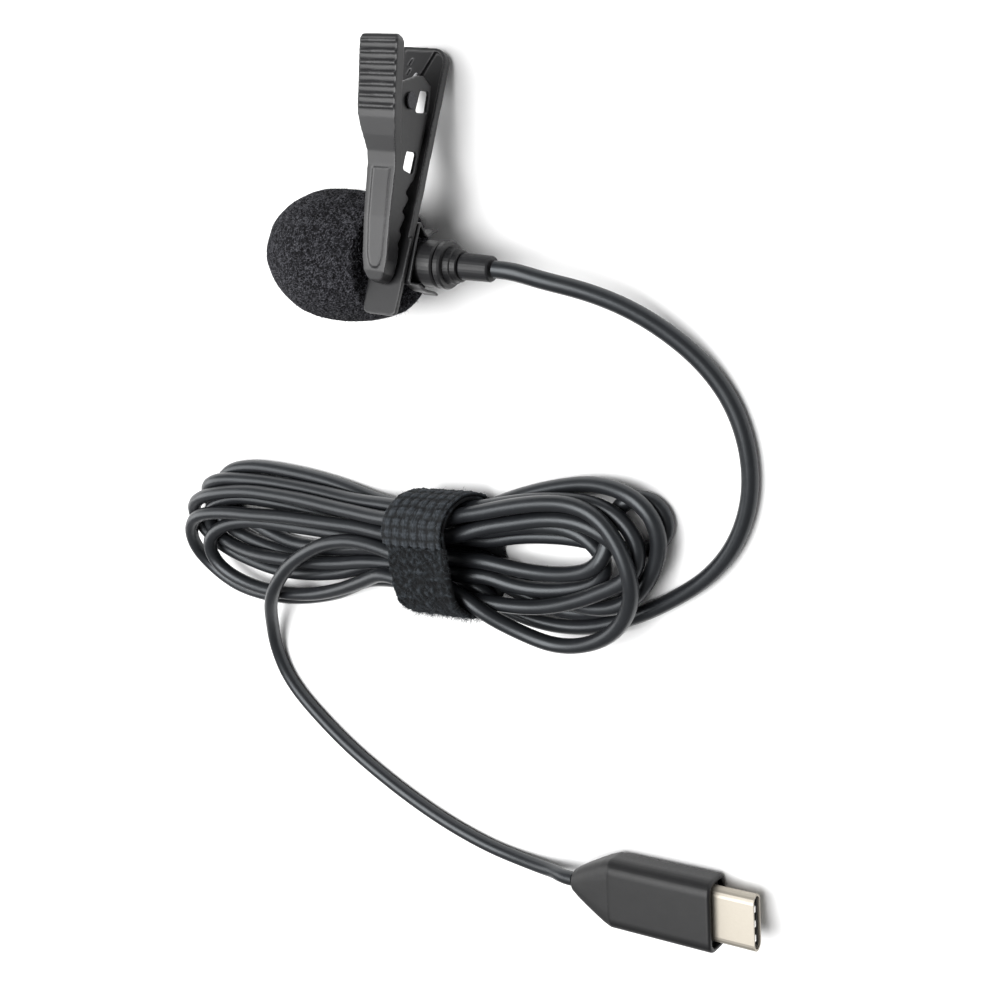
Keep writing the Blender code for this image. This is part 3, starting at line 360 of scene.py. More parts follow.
# ---- lead: one continuous line from the microphone to the plug ----------------------------------
# Through points in millimetres: out of the microphone and over the surface to the bundle, six turns
# of the bundle, each pinched through the tie, and out over the bundle to the plug.
ROUTE_MM = [
    (17.0, -9.5, 7.8), (19.6, -9.5, 7.7), (22.1, -10.3, 7.0), (27.7, -11.6, 5.9), (32.9, -13.6, 4.7), (37.6, -16.5,
    3.5), (41.8, -20.1, 2.5), (45.2, -24.6, 1.8), (47.3, -30.0, 1.4), (47.8, -36.2, 1.1), (46.2, -42.7, 1.1), (42.7,
    -48.3, 1.1), (36.5, -54.0, 1.1), (31.5, -57.6, 1.1), (25.3, -60.9, 1.1), (17.9, -62.5, 1.1), (11.8, -61.4, 1.5),
    (8.6, -57.6, 2.5), (-0.5, -59.0, 3.3),
    (-12.5, -61.2, 2.2), (-20.7, -66.3, 1.4), (-29.6, -69.8, 1.1), (-38.4, -71.3, 1.1), (-45.2, -70.6, 1.1), (-49.2,
    -68.0, 1.6), (-50.7, -64.8, 2.6), (-50.0, -61.0, 3.6), (-46.5, -57.0, 4.6), (-40.0, -54.9, 5.4), (-33.3, -53.9,
    6.0), (-26.4, -52.9, 6.3), (-20.0, -52.3, 6.5), (-12.7, -51.5, 6.9),
    (-1.7, -50.3, 7.2), (7.2, -47.5, 7.1),
    (11.4, -45.9, 6.4), (16.0, -44.6, 5.8), (21.1, -43.3, 5.2), (25.4, -43.2, 4.7), (28.8, -44.8, 4.2), (31.0,
    -47.2, 3.7), (32.0, -49.8, 3.3), (31.7, -52.5, 2.9), (30.3, -55.0, 2.7), (27.5, -57.0, 2.7), (23.1, -58.8, 2.7),
    (18.1, -59.0, 2.6), (13.6, -57.8, 2.6), (9.6, -56.6, 2.6),
    (8.4, -55.8, 2.5), (-0.6, -57.6, 2.5),
    (-13.0, -59.7, 2.3), (-19.4, -62.6, 1.8), (-27.5, -64.9, 1.4), (-34.3, -65.7, 1.2), (-41.0, -65.1, 1.2), (-46.4,
    -63.8, 1.4), (-49.4, -61.2, 1.9), (-50.6, -57.8, 2.6), (-47.3, -54.2, 3.4), (-41.3, -51.8, 4.1), (-35.0, -50.3,
    4.6), (-29.2, -49.7, 5.0), (-22.5, -49.2, 5.4), (-14.1, -48.9, 6.0),
    (-2.4, -48.0, 6.9), (0.9, -46.7, 6.5), (3.8, -45.6, 5.4), (7.1, -45.2, 4.6),
    (10.1, -44.5, 4.8), (16.9, -42.1, 4.6), (23.1, -40.6, 4.4), (27.9, -40.1, 4.3), (31.5, -41.2, 4.2), (33.8,
    -43.8, 4.2), (34.0, -46.5, 4.2), (32.7, -49.1, 4.4), (29.4, -51.6, 4.6), (24.7, -54.5, 4.8), (19.6, -56.7, 4.9),
    (14.4, -57.7, 5.0), (9.3, -57.9, 5.0),
    (8.7, -57.9, 5.2), (-0.6, -58.0, 5.4),
    (-7.0, -57.3, 5.2), (-11.4, -60.0, 4.9), (-17.7, -63.8, 4.6), (-25.2, -67.1, 4.4), (-34.4, -69.0, 4.2), (-41.1,
    -68.4, 4.2), (-45.2, -66.4, 4.3), (-46.6, -63.4, 4.4), (-44.9, -60.2, 4.5), (-41.0, -57.7, 4.5), (-35.2, -56.1,
    4.4), (-28.3, -55.5, 4.3), (-21.3, -54.9, 4.3), (-14.1, -54.2, 4.5),
    (-1.4, -52.1, 4.8), (7.4, -48.5, 4.8),
    (9.8, -48.3, 4.2), (15.3, -46.6, 3.6), (20.6, -45.4, 3.1), (25.3, -45.2, 2.7), (28.4, -46.6, 2.4), (30.2, -48.5,
    2.2), (30.3, -50.7, 2.2), (28.3, -52.6, 2.4), (23.9, -54.5, 2.6), (18.4, -55.8, 2.8), (13.5, -55.7, 3.4), (9.9,
    -55.0, 4.0),
    (8.3, -55.4, 4.8), (-0.9, -56.0, 4.8),
    (-11.2, -57.5, 4.3), (-18.5, -59.7, 3.6), (-26.5, -61.2, 3.0), (-34.0, -62.0, 2.6), (-41.0, -62.3, 2.4), (-46.1,
    -61.2, 2.4), (-47.7, -58.4, 2.6), (-45.5, -55.1, 2.9), (-40.2, -52.8, 3.2), (-33.7, -52.3, 3.4), (-24.8, -52.4,
    3.4), (-15.9, -52.7, 3.3),
    (-1.5, -51.5, 2.5), (7.6, -50.2, 2.5),
    (9.1, -50.3, 2.3), (14.1, -48.8, 1.9), (19.6, -47.8, 1.5), (24.4, -47.4, 1.2), (28.6, -47.7, 1.1), (32.7, -47.3,
    1.1), (35.8, -45.5, 1.1), (37.2, -42.3, 1.1), (36.3, -39.4, 1.2), (34.1, -38.0, 1.6), (31.8, -38.4, 2.3), (30.3,
    -40.6, 3.0), (30.0, -43.7, 3.4), (29.9, -46.0, 3.6), (28.6, -48.5, 3.7), (23.9, -51.0, 3.8), (19.3, -52.1, 4.0),
    (14.6, -52.5, 4.3), (9.8, -52.5, 4.6),
    (8.0, -52.8, 4.8), (-1.1, -54.1, 4.8),
    (-11.0, -55.9, 4.3), (-18.5, -58.1, 3.4), (-26.0, -59.5, 2.6), (-30.5, -59.8, 2.2), (-36.4, -58.7, 1.8), (-41.0,
    -57.3, 1.4), (-44.5, -55.1, 1.1), (-46.1, -52.5, 1.1), (-43.3, -49.8, 1.2), (-37.5, -47.9, 1.3), (-32.0, -47.3,
    1.5), (-25.5, -47.2, 1.7), (-17.1, -47.3, 2.1), (-10.6, -47.5, 2.5),
    (-2.2, -46.5, 2.6), (6.9, -45.3, 2.6),
    (12.4, -42.9, 2.6), (17.2, -41.0, 2.4), (21.8, -39.5, 2.2), (26.4, -38.4, 2.2), (31.1, -38.2, 2.8), (34.8,
    -39.5, 3.4), (36.5, -42.0, 3.5), (36.7, -45.2, 3.5), (35.5, -48.9, 3.5), (33.4, -52.4, 3.5), (30.0, -55.2, 3.4),
    (25.0, -56.6, 3.2), (19.3, -56.6, 3.0), (14.2, -55.3, 2.8), (10.1, -54.0, 2.6),
    (8.1, -53.6, 2.5), (-1.0, -55.4, 2.5),
    (-11.9, -58.1, 2.5), (-17.9, -60.2, 2.0), (-24.0, -61.6, 1.6), (-31.2, -62.3, 1.4), (-39.1, -61.7, 1.4), (-44.2,
    -60.2, 1.5), (-46.9, -57.4, 1.7), (-46.4, -54.0, 2.0), (-41.9, -50.6, 2.4), (-36.4, -49.5, 2.7), (-30.9, -48.8,
    3.0), (-22.0, -48.2, 3.5), (-13.7, -48.0, 4.0),
    (-2.4, -46.9, 4.7), (1.1, -47.7, 4.9), (4.0, -47.1, 6.3), (7.1, -45.1, 6.9),
    (11.5, -43.6, 6.8), (17.0, -41.6, 6.6), (22.0, -40.2, 6.4), (26.0, -39.7, 6.3), (29.6, -40.7, 6.3), (32.0,
    -43.3, 6.3), (33.7, -46.6, 6.3), (34.3, -50.1, 6.2), (33.1, -54.4, 5.9), (30.4, -58.2, 5.6), (26.1, -61.1, 5.4),
    (21.3, -62.2, 5.4), (16.7, -61.2, 5.7), (13.1, -59.7, 6.2),
    (8.8, -57.2, 6.9), (2.6, -55.1, 7.2), (-2.3, -53.2, 7.4),
    (-10.5, -52.5, 7.2), (-15.4, -53.8, 7.1), (-19.3, -55.6, 7.0), (-22.3, -57.6, 6.9), (-25.7, -60.3, 6.8), (-28.5,
    -63.3, 6.6), (-30.9, -66.7, 6.3), (-33.3, -70.8, 5.0), (-35.3, -75.7, 3.2), (-36.5, -80.9, 1.7), (-35.4, -85.6,
    1.1), (-33.0, -89.1, 1.1), (-30.0, -91.9, 1.1), (-23.3, -96.8, 1.1), (-15.7, -100.8, 1.1), (-8.0, -103.9, 1.1),
    (0.0, -106.1, 1.1), (8.4, -107.1, 1.1), (15.7, -106.3, 1.9), (19.8, -105.0, 2.9), (20.4, -104.5, 3.9), (23.1,
    -104.0, 3.9),
]


def through(points, step):
    """Centripetal curve through the points, at even spacing."""
    p = [np.array(q, float) for q in points]
    out = []
    for i in range(len(p) - 1):
        p1, p2 = p[i], p[i + 1]
        p0 = p[i - 1] if i else 2 * p1 - p2
        p3 = p[i + 2] if i + 2 < len(p) else 2 * p2 - p1
        t = [0.0]
        for a, b in ((p0, p1), (p1, p2), (p2, p3)):
            t.append(t[-1] + max(1e-3, np.linalg.norm(b - a)) ** 0.5)
        u = np.linspace(t[1], t[2], 12, endpoint=False)[:, None]
        a1 = (t[1] - u) / (t[1] - t[0]) * p0 + (u - t[0]) / (t[1] - t[0]) * p1
        a2 = (t[2] - u) / (t[2] - t[1]) * p1 + (u - t[1]) / (t[2] - t[1]) * p2
        a3 = (t[3] - u) / (t[3] - t[2]) * p2 + (u - t[2]) / (t[3] - t[2]) * p3
        b1 = (t[2] - u) / (t[2] - t[0]) * a1 + (u - t[0]) / (t[2] - t[0]) * a2
        b2 = (t[3] - u) / (t[3] - t[1]) * a2 + (u - t[1]) / (t[3] - t[1]) * a3
        out.append((t[2] - u) / (t[2] - t[1]) * b1 + (u - t[1]) / (t[2] - t[1]) * b2)
    line = np.concatenate(out + [p[-1][None]])
    return even(line, step)


def even(line, step):
    s = np.concatenate([[0], np.cumsum(np.linalg.norm(np.diff(line, axis=0), axis=1))])
    at = np.linspace(0, s[-1], int(round(s[-1] / step)) + 1)
    return np.stack([np.interp(at, s, line[:, k]) for k in range(3)], 1)


def settle(rest, step, diameter, rounds=320):
    """Lays the turns beside and over each other: pushes strands a diameter apart, holds them on the surface
    and inside the tie, keeps bends open and spreads each move along the lead."""
    p = rest.copy()
    n = len(p)
    r = diameter / 2
    fixed = np.zeros(n, bool)
    fixed[:10] = True
    fixed[-10:] = True
    tie = np.array(TIE_AT)
    ex = np.array((math.cos(TIE_YAW), math.sin(TIE_YAW)))
    ey = np.array((-math.sin(TIE_YAW), math.cos(TIE_YAW)))
    near = None
    for it in range(rounds):
        if it % 8 == 0:
            q = p.astype(np.float32)
            sq = (q ** 2).sum(1)
            d2 = sq[:, None] + sq[None, :] - 2 * q @ q.T
            i, j = np.nonzero(d2 < (diameter * 1.45) ** 2)
            keep = (j - i) * step > 6.0
            near = i[keep], j[keep]
        i, j = near
        v = p[i] - p[j]
        d = np.linalg.norm(v, axis=1)
        hit = d < diameter * 1.01
        i, j, v, d = i[hit], j[hit], v[hit], np.maximum(d[hit], 1e-3)
        push = (diameter * 1.01 - d)[:, None] * 0.5 * v / d[:, None]
        move, count = np.zeros_like(p), np.zeros(n)
        np.add.at(move, i, push)
        np.add.at(move, j, -push)
        np.add.at(count, i, 1)
        np.add.at(count, j, 1)
        p = p + 1.3 * move / np.maximum(count, 1)[:, None]
        w = 4                                            # bends no tighter than about two diameters
        half = (p[2 * w:] + p[:-2 * w]) / 2
        dev = p[w:-w] - half
        size = np.linalg.norm(dev, axis=1)
        most = (w * step) ** 2 / (2 * 4.2)
        over = np.maximum(0.0, 1 - most / np.maximum(size, 1e-6))[:, None]
        p[w:-w] -= 0.25 * dev * over
        move = p - rest
        move[:, 2] -= 0.004                              # weight
        move[:, :2] *= 0.997
        for _ in range(3):
            m = move.copy()
            m[1:-1] = 0.5 * move[1:-1] + 0.25 * (move[:-2] + move[2:])
            move = m
        move[fixed] = 0
        p = rest + move
        rel = p[:, :2] - tie[:2]
        a, s, z = rel @ ex, rel @ ey, p[:, 2] - tie[2]
        inside = (np.abs(a) < 5.6) & (np.abs(s) < 12)
        h, c = 4.25 - r, 3.9
        q = np.clip(s, -c, c)
        far = np.hypot(s - q, z)
        f = np.where(inside & (far > h), h / np.maximum(far, 1e-6), 1.0)
        p[:, :2] += ((q + (s - q) * f - s) * inside)[:, None] * ey
        p[:, 2] = np.where(inside, z * f + tie[2], p[:, 2])
        p[:, 2] = np.maximum(p[:, 2], r + 0.01)
    return p


def eased(p, step, radius, rounds=60):
    """Opens any bend tighter than the jacket allows."""
    p = p.copy()
    for w in (3, 5):
        most = (w * step) ** 2 / (2 * radius)
        for _ in range(rounds):
            dev = p[w:-w] - (p[2 * w:] + p[:-2 * w]) / 2
            size = np.linalg.norm(dev, axis=1)
            over = np.maximum(0.0, 1 - most / np.maximum(size, 1e-6))[:, None]
            shift = np.zeros_like(p)
            shift[w:-w] = -0.35 * dev * over
            shift[1:-1] = 0.5 * shift[1:-1] + 0.25 * (shift[:-2] + shift[2:])
            shift[:6] = shift[-6:] = 0
            p += shift
            p[:, 2] = np.maximum(p[:, 2], CABLE_D / 2 + 0.01)
    return p


STEP = 0.8
lead_line = even(eased(settle(through(ROUTE_MM, STEP), STEP, CABLE_D), STEP, 4.2), 1.0)
for _ in range(4):
    lead_line[1:-1] = 0.5 * lead_line[1:-1] + 0.25 * (lead_line[:-2] + lead_line[2:])
LEAD_LENGTH = float(np.linalg.norm(np.diff(lead_line, axis=0), axis=1).sum()) * MM

cu = bpy.data.curves.new("lead", 'CURVE')
cu.dimensions = '3D'
cu.bevel_depth = CABLE_D / 2 * MM
cu.bevel_resolution = 4
cu.use_fill_caps = True
sp = cu.splines.new('POLY')
sp.points.add(len(lead_line) - 1)
for q, p in zip(sp.points, lead_line):
    q.co = (p[0] * MM, p[1] * MM, p[2] * MM, 1.0)
sp.use_smooth = True
lead = bpy.data.objects.new("lead", cu)
bpy.context.scene.collection.objects.link(lead)
cu.materials.append(JACKET)
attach(lead, "microphone")
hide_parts("mic_lead", "cable_hank", "plug_lead")
print("lead length", round(LEAD_LENGTH, 4))



# ---- loose fibres -----------------------------------------------------------------------------
def fibres(name, roots, normals, lengths, radius, mats, body, curl=0.5):
    verts, faces = [], []
    for p, nrm, ln in zip(roots, normals, lengths):
        side = rng.normal(size=3)
        side -= nrm * (side @ nrm)
        side /= max(1e-6, np.linalg.norm(side))
        lean = rng.uniform(0.2, 1.0)
        d = nrm * (1.15 - lean) + side * lean
        d /= np.linalg.norm(d)
        twist = rng.normal(size=3) * curl
        pos = p.copy()
        rings = []
        k = 5
        for i in range(k):
            a = np.cross(d, (0.3, 0.5, 0.81))
            a /= max(1e-6, np.linalg.norm(a))
            b = np.cross(d, a)
            rr = radius * (1.0 - 0.55 * i / (k - 1))
            rings.append([pos + rr * (a * math.cos(t) + b * math.sin(t)) for t in (0.0, 2.094, 4.189)])
            pos = pos + d * ln / (k - 1)
            d = d + twist * ln * 0.35 - nrm * 0.10
            d /= np.linalg.norm(d)
        base = len(verts)
        for r3 in rings:
            verts.extend(r3)
        for i in range(k - 1):
            for j in range(3):
                a0, a1 = base + i * 3 + j, base + i * 3 + (j + 1) % 3
                faces.append((a0, a1, a1 + 3, a0 + 3))
        faces.append((base + 2, base + 1, base))
        e = base + 3 * (k - 1)
        faces.append((e, e + 1, e + 2))
    verts = np.array(verts)
    verts[:, 2] = np.maximum(verts[:, 2], 0.02)
    me = mesh_of(name, verts * MM, faces)
    return add(name, me, body, mats)


# ---- foam windscreen -------------------------------------------------------------------------------
def foam():
    tip, end, middle, big = -20.9, -0.5, -10.2, 8.6
    left, rad = middle - tip, 14.6
    prof = [(tip + 0.12, 0.0)]
    for i in range(1, 25):
        t = math.pi / 2 * i / 24
        prof.append((middle - (left - 0.12) * math.cos(t), (big - 0.1) * math.sin(t)))
    for i in range(1, 13):
        x = (end - middle) * i / 12 * 0.97
        prof.append((middle + x, (big - 0.1) * math.sqrt(1 - (x / rad) ** 2)))
    rim = prof[-1][1]
    prof += [(end - 0.1, rim - 0.35), (end - 0.02, rim - 0.9), (end - 0.10, 5.2), (-1.0, 4.5), (-1.9, 4.2),
             (-2.1, 3.6), (-2.25, 3.2), (-4.0, 3.16), (-13.5, 3.16), (-13.7, 2.8), (-13.75, 0.0)]
    n = 120
    verts, faces = [], []
    rows = []
    for x, r in prof:
        if r == 0:
            rows.append([len(verts)])
            verts.append((x, 0.0, 0.0))
        else:
            rows.append(list(range(len(verts), len(verts) + n)))
            for k in range(n):
                t = math.tau * k / n
                verts.append((x, r * math.cos(t), r * math.sin(t)))
    for a, b in zip(rows, rows[1:]):
        for k in range(n):
            j = (k + 1) % n
            if len(a) == 1:
                faces.append((a[0], b[j], b[k]))
            elif len(b) == 1:
                faces.append((a[k], a[j], b[0]))
            else:
                faces.append((a[k], a[j], b[j], b[k]))
    me = mesh_of("windscreen", verts, faces)
    bm = bmesh.new()
    bm.from_mesh(me)
    bmesh.ops.recalc_face_normals(bm, faces=bm.faces)
    bm.to_mesh(me)
    bm.free()
    ob = bpy.data.objects.new("windscreen", me)
    bpy.context.scene.collection.objects.link(ob)
    turn = np.array(Matrix.Rotation(-TURN, 3, 'Z'))

    def read():
        n = len(ob.data.vertices)
        a, b = np.zeros(n * 3, np.float32), np.zeros(n * 3, np.float32)
        ob.data.vertices.foreach_get("co", a)
        ob.data.vertices.foreach_get("normal", b)
        return a.reshape(-1, 3).astype(float), b.reshape(-1, 3).astype(float)

    def remesh(size, fine):
        r = ob.modifiers.new("even", 'REMESH')
        r.mode = 'VOXEL'
        r.voxel_size = size
        if fine:
            m = ob.modifiers.new("soft", 'SMOOTH')
            m.iterations, m.factor = 2, 0.5
            d = ob.modifiers.new("fine", 'SUBSURF')
            d.levels = d.render_levels = 1
        applied(ob)

    # the foam gives way under the rear jaw and round the clasp
    remesh(0.30, False)
    co, nr = read()
    cc = co @ turn.T
    over = np.clip((3.05 - np.abs(cc[:, 0])) / 0.35, 0, 1)
    over = over * over * (3 - 2 * over)
    tip_fade = np.clip((cc[:, 1] + 8.1) / 0.6, 0, 1)
    limit = 3.10 + (1 - over * tip_fade) * 7.0
    co[:, 2] = np.minimum(cc[:, 2], limit)
    ob.data.vertices.foreach_set("co", co.astype(np.float32).ravel())
    ob.data.update()
    remesh(0.30, True)
    me = ob.data
    co, nr = read()
    # soft unevenness
    big_wave = np.array([noise.noise(Vector(p) * 0.22) for p in co])
    small_wave = np.array([noise.noise(Vector(p) * 0.6 + Vector((9, 3, 1))) for p in co])
    outer = np.hypot(co[:, 1], co[:, 2]) > 3.9
    co += nr * ((0.14 * big_wave + 0.07 * small_wave) * outer)[:, None]
    # cells: pits round scattered seeds with thin walls left between them
    seen, seeds = set(), []
    order = rng.permutation(len(co))
    cell = 0.37
    for i in order:
        key = tuple(np.floor(co[i] / cell).astype(int))
        if key not in seen:
            seen.add(key)
            seeds.append(co[i] + rng.normal(size=3) * 0.05)
    tree = kdtree.KDTree(len(seeds))
    for i, p in enumerate(seeds):
        tree.insert(p, i)
    tree.balance()
    depth = rng.uniform(0.25, 1.0, len(seeds)) ** 1.3
    ridge = np.zeros(len(co))
    fall = np.zeros(len(co))
    for i, p in enumerate(co):
        (c1, k1, d1), (c2, k2, d2) = tree.find_n(p, 2)
        f = min(1.0, (d2 - d1) / 0.16)
        pit = f * f * (3 - 2 * f) * depth[k1]
        ridge[i] = 1 - pit
        fall[i] = pit
    bed = (np.abs(co[:, 0]) < 3.2) & (co[:, 2] > 2.9) & (co[:, 2] < 3.3)
    co -= nr * (0.30 * fall * outer)[:, None]
    co[:, 2] = np.where(bed, np.minimum(co[:, 2], 3.14), co[:, 2])
    me.vertices.foreach_set("co", (co @ np.array(MIC_M.to_3x3()).T + np.array(MIC_M.translation)).astype(np.float32).ravel() * MM)
    # ridge also drives the foam colour: painted shade in the pits, painted highlight on the walls
    at = me.attributes.new("ridge", 'FLOAT', 'POINT')
    at.data.foreach_set("value", ridge.astype(np.float32))
    me.update()
    me.shade_smooth()
    me.materials.append(FOAM)
    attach(ob, "windscreen")
    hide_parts("windscreen_foam")
    world = co @ np.array(MIC_M.to_3x3()).T + np.array(MIC_M.translation)
    wn = nr @ np.array(MIC_M.to_3x3()).T
    pick = rng.choice(np.nonzero(outer & (ridge > 0.75))[0], 1500, replace=False)
    fb = fibres("windscreen_fibres", world[pick] - wn[pick] * 0.05, wn[pick], rng.uniform(0.25, 0.75, len(pick)), 0.017,
                [FIBRE_PALE], "windscreen", 0.9)
    return ob


foam_piece = foam()


# ---- hook-and-loop tie -------------------------------------------------------------------------------
def tie():
    w_in, h_in, width = 16.4, 8.6, 10.2
    straight = w_in - h_in
    r = h_in / 2
    per = 2 * straight + math.tau * r

    def rim(p):
        """Point and outward normal of the inner outline at distance p, from the middle of the underside
        towards +y, up and over."""
        p = p % per
        a = straight / 2
        if p < a:
            return (p, -r), (0.0, -1.0)
        p -= a
        if p < math.pi * r:
            t = -math.pi / 2 + p / r
            return (straight / 2 + r * math.cos(t), r * math.sin(t)), (math.cos(t), math.sin(t))
        p -= math.pi * r
        if p < straight:
            return (straight / 2 - p, r), (0.0, 1.0)
        p -= straight
        if p < math.pi * r:
            t = math.pi / 2 + p / r
            return (-straight / 2 + r * math.cos(t), r * math.sin(t)), (math.cos(t), math.sin(t))
        p -= math.pi * r
        return (-straight / 2 + p, -r), (0.0, -1.0)

    start = 1.5
    top_plus = straight / 2 + math.pi * r + straight / 2 - 3.0      # on top, three millimetres towards +y
    finish = per + top_plus
    length = finish - start
    n_p, n_x = int(length / 0.17), int(width / 0.17)
    verts, relief, kind = [], [], []
    for side in (1, 0):
        for i in range(n_p + 1):
            for j in range(n_x + 1):
                fx = j / n_x
                x = (fx - 0.5) * width
                zig = 0.45 * abs(((x / 1.55) % 1.0) * 2 - 1)
                jag = 0.10 * noise.noise(Vector((x * 1.7, 4.0, 2.0)))
                p = start + (length - zig - jag) * i / n_p
                if p < top_plus + 1.0:
                    off, thick = 0.32, 0.58
                elif p < per - 3.0:
                    u = min(1.0, (p - top_plus - 1.0) / 1.5)
                    off, thick = 0.32 + 0.17 * u, 0.58 + 0.30 * u
                elif p < per + start + 1.0:
                    u = (p - per + 3.0) / (start + 4.0)
                    u = u * u * (3 - 2 * u)
                    off, thick = 0.49 + 0.43 * u, 0.88 - 0.34 * u
                else:
                    off, thick = 0.92, 0.54
                hook = 1.0 if p > per - 1.0 else 0.0
                (y, z), (ny, nz) = rim(p)
                # edges of the band are a little wavy
                xe = x + (fx - 0.5) * 2 * 0.12 * noise.noise(Vector((p * 0.8, 7.0 * (fx > 0.5), 0.0)))
                if side == 1:
                    if hook:
                        wob = 0.25 * noise.noise(Vector((p * 0.6, x * 0.6, 2.0)))
                        row = (p - finish) / 1.25 + wob
                        a = abs(math.sin(math.pi * row))
                        b = abs(math.sin(math.pi * (x / 1.55 + 0.5 * (math.floor(row) % 2) * 0.3)))
                        coarse = min(1.0, (a * b) ** 0.45 * 1.15)
                        fine = (abs(math.sin(math.pi * p / 0.47)) * abs(math.sin(math.pi * x / 0.44))) ** 0.6
                        nz2 = noise.noise(Vector((p * 3.0, x * 3.0, 1.0)))
                        v = 0.62 * coarse + 0.34 * fine + 0.30 * nz2 - 0.08
                        d = 0.42 * (v - 0.62)
                    else:
                        v = 0.5 + 0.75 * noise.noise(Vector((p * 1.3, x * 1.3, 5.0))) + 0.65 * noise.noise(
                            Vector((p * 3.1, x * 3.1, 8.0)))
                        d = 0.26 * (v - 0.5)
                        if p < top_plus:
                            d *= 0.1
                    v = min(1.0, max(0.0, v))
                    q = off + thick / 2 + d
                else:
                    v = 0.35 + 0.3 * noise.noise(Vector((p * 2.0, x * 2.0, 3.0)))
                    q = off - thick / 2 + 0.02 * v
                edge = min(fx, 1 - fx) * width
                if edge < 0.2:                           # rolled edges
                    q += (off - q) * (1 - edge / 0.2) * 0.55
                verts.append((xe, y + ny * q, z + nz * q))
                relief.append(max(0.0, min(1.0, v)))
                kind.append(hook)
    m = n_x + 1
    layer = (n_p + 1) * m
    faces, slot = [], []
    for i in range(n_p):
        for j in range(n_x):
            a = i * m + j
            faces.append((a, a + m, a + m + 1, a + 1))
            slot.append(0 if kind[a] > 0.5 else 1)
            a += layer
            faces.append((a, a + 1, a + m + 1, a + m))
            slot.append(1)
    for i in range(n_p):
        for j in (0, n_x):
            a, b = i * m + j, (i + 1) * m + j
            f = (a, b, b + layer, a + layer) if j else (a, a + layer, b + layer, b)
            faces.append(f)
            slot.append(0 if kind[a] > 0.5 else 1)
    for j in range(n_x):
        for i in (0, n_p):
            a, b = i * m + j, i * m + j + 1
            faces.append((a, b, b + layer, a + layer) if not i else (a, a + layer, b + layer, b))
            slot.append(0 if i else 1)
    co = np.array(verts)
    co[:, 0] += 0.27 * (h_in / 2 + 1.3 - co[:, 2])         # the band leans, its underside further along
    world = co @ np.array(TIE_M.to_3x3()).T + np.array(TIE_M.translation)
    world[:, 2] = np.maximum(world[:, 2], 0.03)
    me = mesh_of("tie_band", world * MM, faces)
    ob = add("tie_band", me, "microphone", (HOOK, PILE))
    me.polygons.foreach_set("material_index", slot)
    # relief also drives the hook and pile colours: painted shade in the hollows, painted highlight on the raised tops
    at = me.attributes.new("relief", 'FLOAT', 'POINT')
    at.data.foreach_set("value", np.array(relief, np.float32))
    bm = bmesh.new()
    bm.from_mesh(me)
    bmesh.ops.recalc_face_normals(bm, faces=bm.faces)
    bm.to_mesh(me)
    bm.free()
    me.update()
    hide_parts("velcro_tie")
    # loose fibres of the pile, most on the underside edge and the ends
    nr = np.zeros(len(me.vertices) * 3, np.float32)
    me.vertices.foreach_get("normal", nr)
    nr = nr.reshape(-1, 3).astype(float)
    idx = np.arange(layer)
    kind_a = np.array(kind[:layer])
    pp = start + length * (idx // m) / n_p
    fx = (idx % m) / n_x
    pile = (kind_a < 0.5) & (pp > top_plus)
    weight = pile * (0.5 + 2.5 * np.exp(-((pp - (top_plus + 13.5)) / 4.0) ** 2)) * (1 + 3 * (np.minimum(fx, 1 - fx) < 0.04))
    weight = weight + (kind_a > 0.5) * 0.10 * (1 + 14 * (np.minimum(fx, 1 - fx) < 0.03))
    pick = rng.choice(idx, 2600, p=weight / weight.sum())
    hair = rng.uniform(0.3, 1.0, len(pick)) * (1 + 1.0 * np.exp(-((pp[pick] - (top_plus + 13.5)) / 3.5) ** 2))
    fb = fibres("tie_fibres", world[pick] - nr[pick] * 0.04, nr[pick], hair, 0.018, [FIBRE_DARK], "microphone", 1.0)
    print("tie flat", width, round(length, 1))
    return ob


tie_piece = tie()


# ---- pressed and moulded pieces with rounded edges -----------------------------------------------------
def refined(node, body, mat, voxel, rounds=3):
    """The CAD piece with its edges softened: an even remesh, then a little smoothing."""
    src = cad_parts[node]
    me = src.data.copy()
    me.materials.clear()
    me.transform(Matrix.Scale(1000.0, 4))
    ob = add(node + "_finished", me, body, ())
    r = ob.modifiers.new("even", 'REMESH')
    r.mode = 'VOXEL'
    r.voxel_size = voxel
    m = ob.modifiers.new("soft", 'SMOOTH')
    m.iterations, m.factor = rounds, 0.5
    applied(ob)
    ob.data.transform(Matrix.Scale(MM, 4))
    ob.data.materials.clear()
    ob.data.materials.append(mat)
    ob.data.shade_smooth()
    ob.matrix_world = src.matrix_world
    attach(ob, body)
    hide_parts(node)
    return ob


def edge_mask(ob, reach=0.5):
    """Marks vertices by how near they lie to a sharp edge, for wear."""
    me = ob.data
    bm = bmesh.new()
    bm.from_mesh(me)
    val = []
    for v in bm.verts:
        a = max([e.calc_face_angle(0.0) for e in v.link_edges if len(e.link_faces) == 2] or [0.0])
        val.append(min(1.0, a / 0.35))
    bm.free()
    at = me.attributes.new("edge", 'FLOAT', 'POINT')
    at.data.foreach_set("value", np.array(val, np.float32))


def remat(node, mat):
    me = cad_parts[node].data
    me.materials.clear()
    me.materials.append(mat)


rear = refined("rear_jaw", "rear_lever", PAINT, 0.11, 2)
front = refined("front_jaw", "front_lever", PAINT, 0.11, 3)
clasp = refined("holder_clasp", "microphone", PAINT, 0.10, 2)


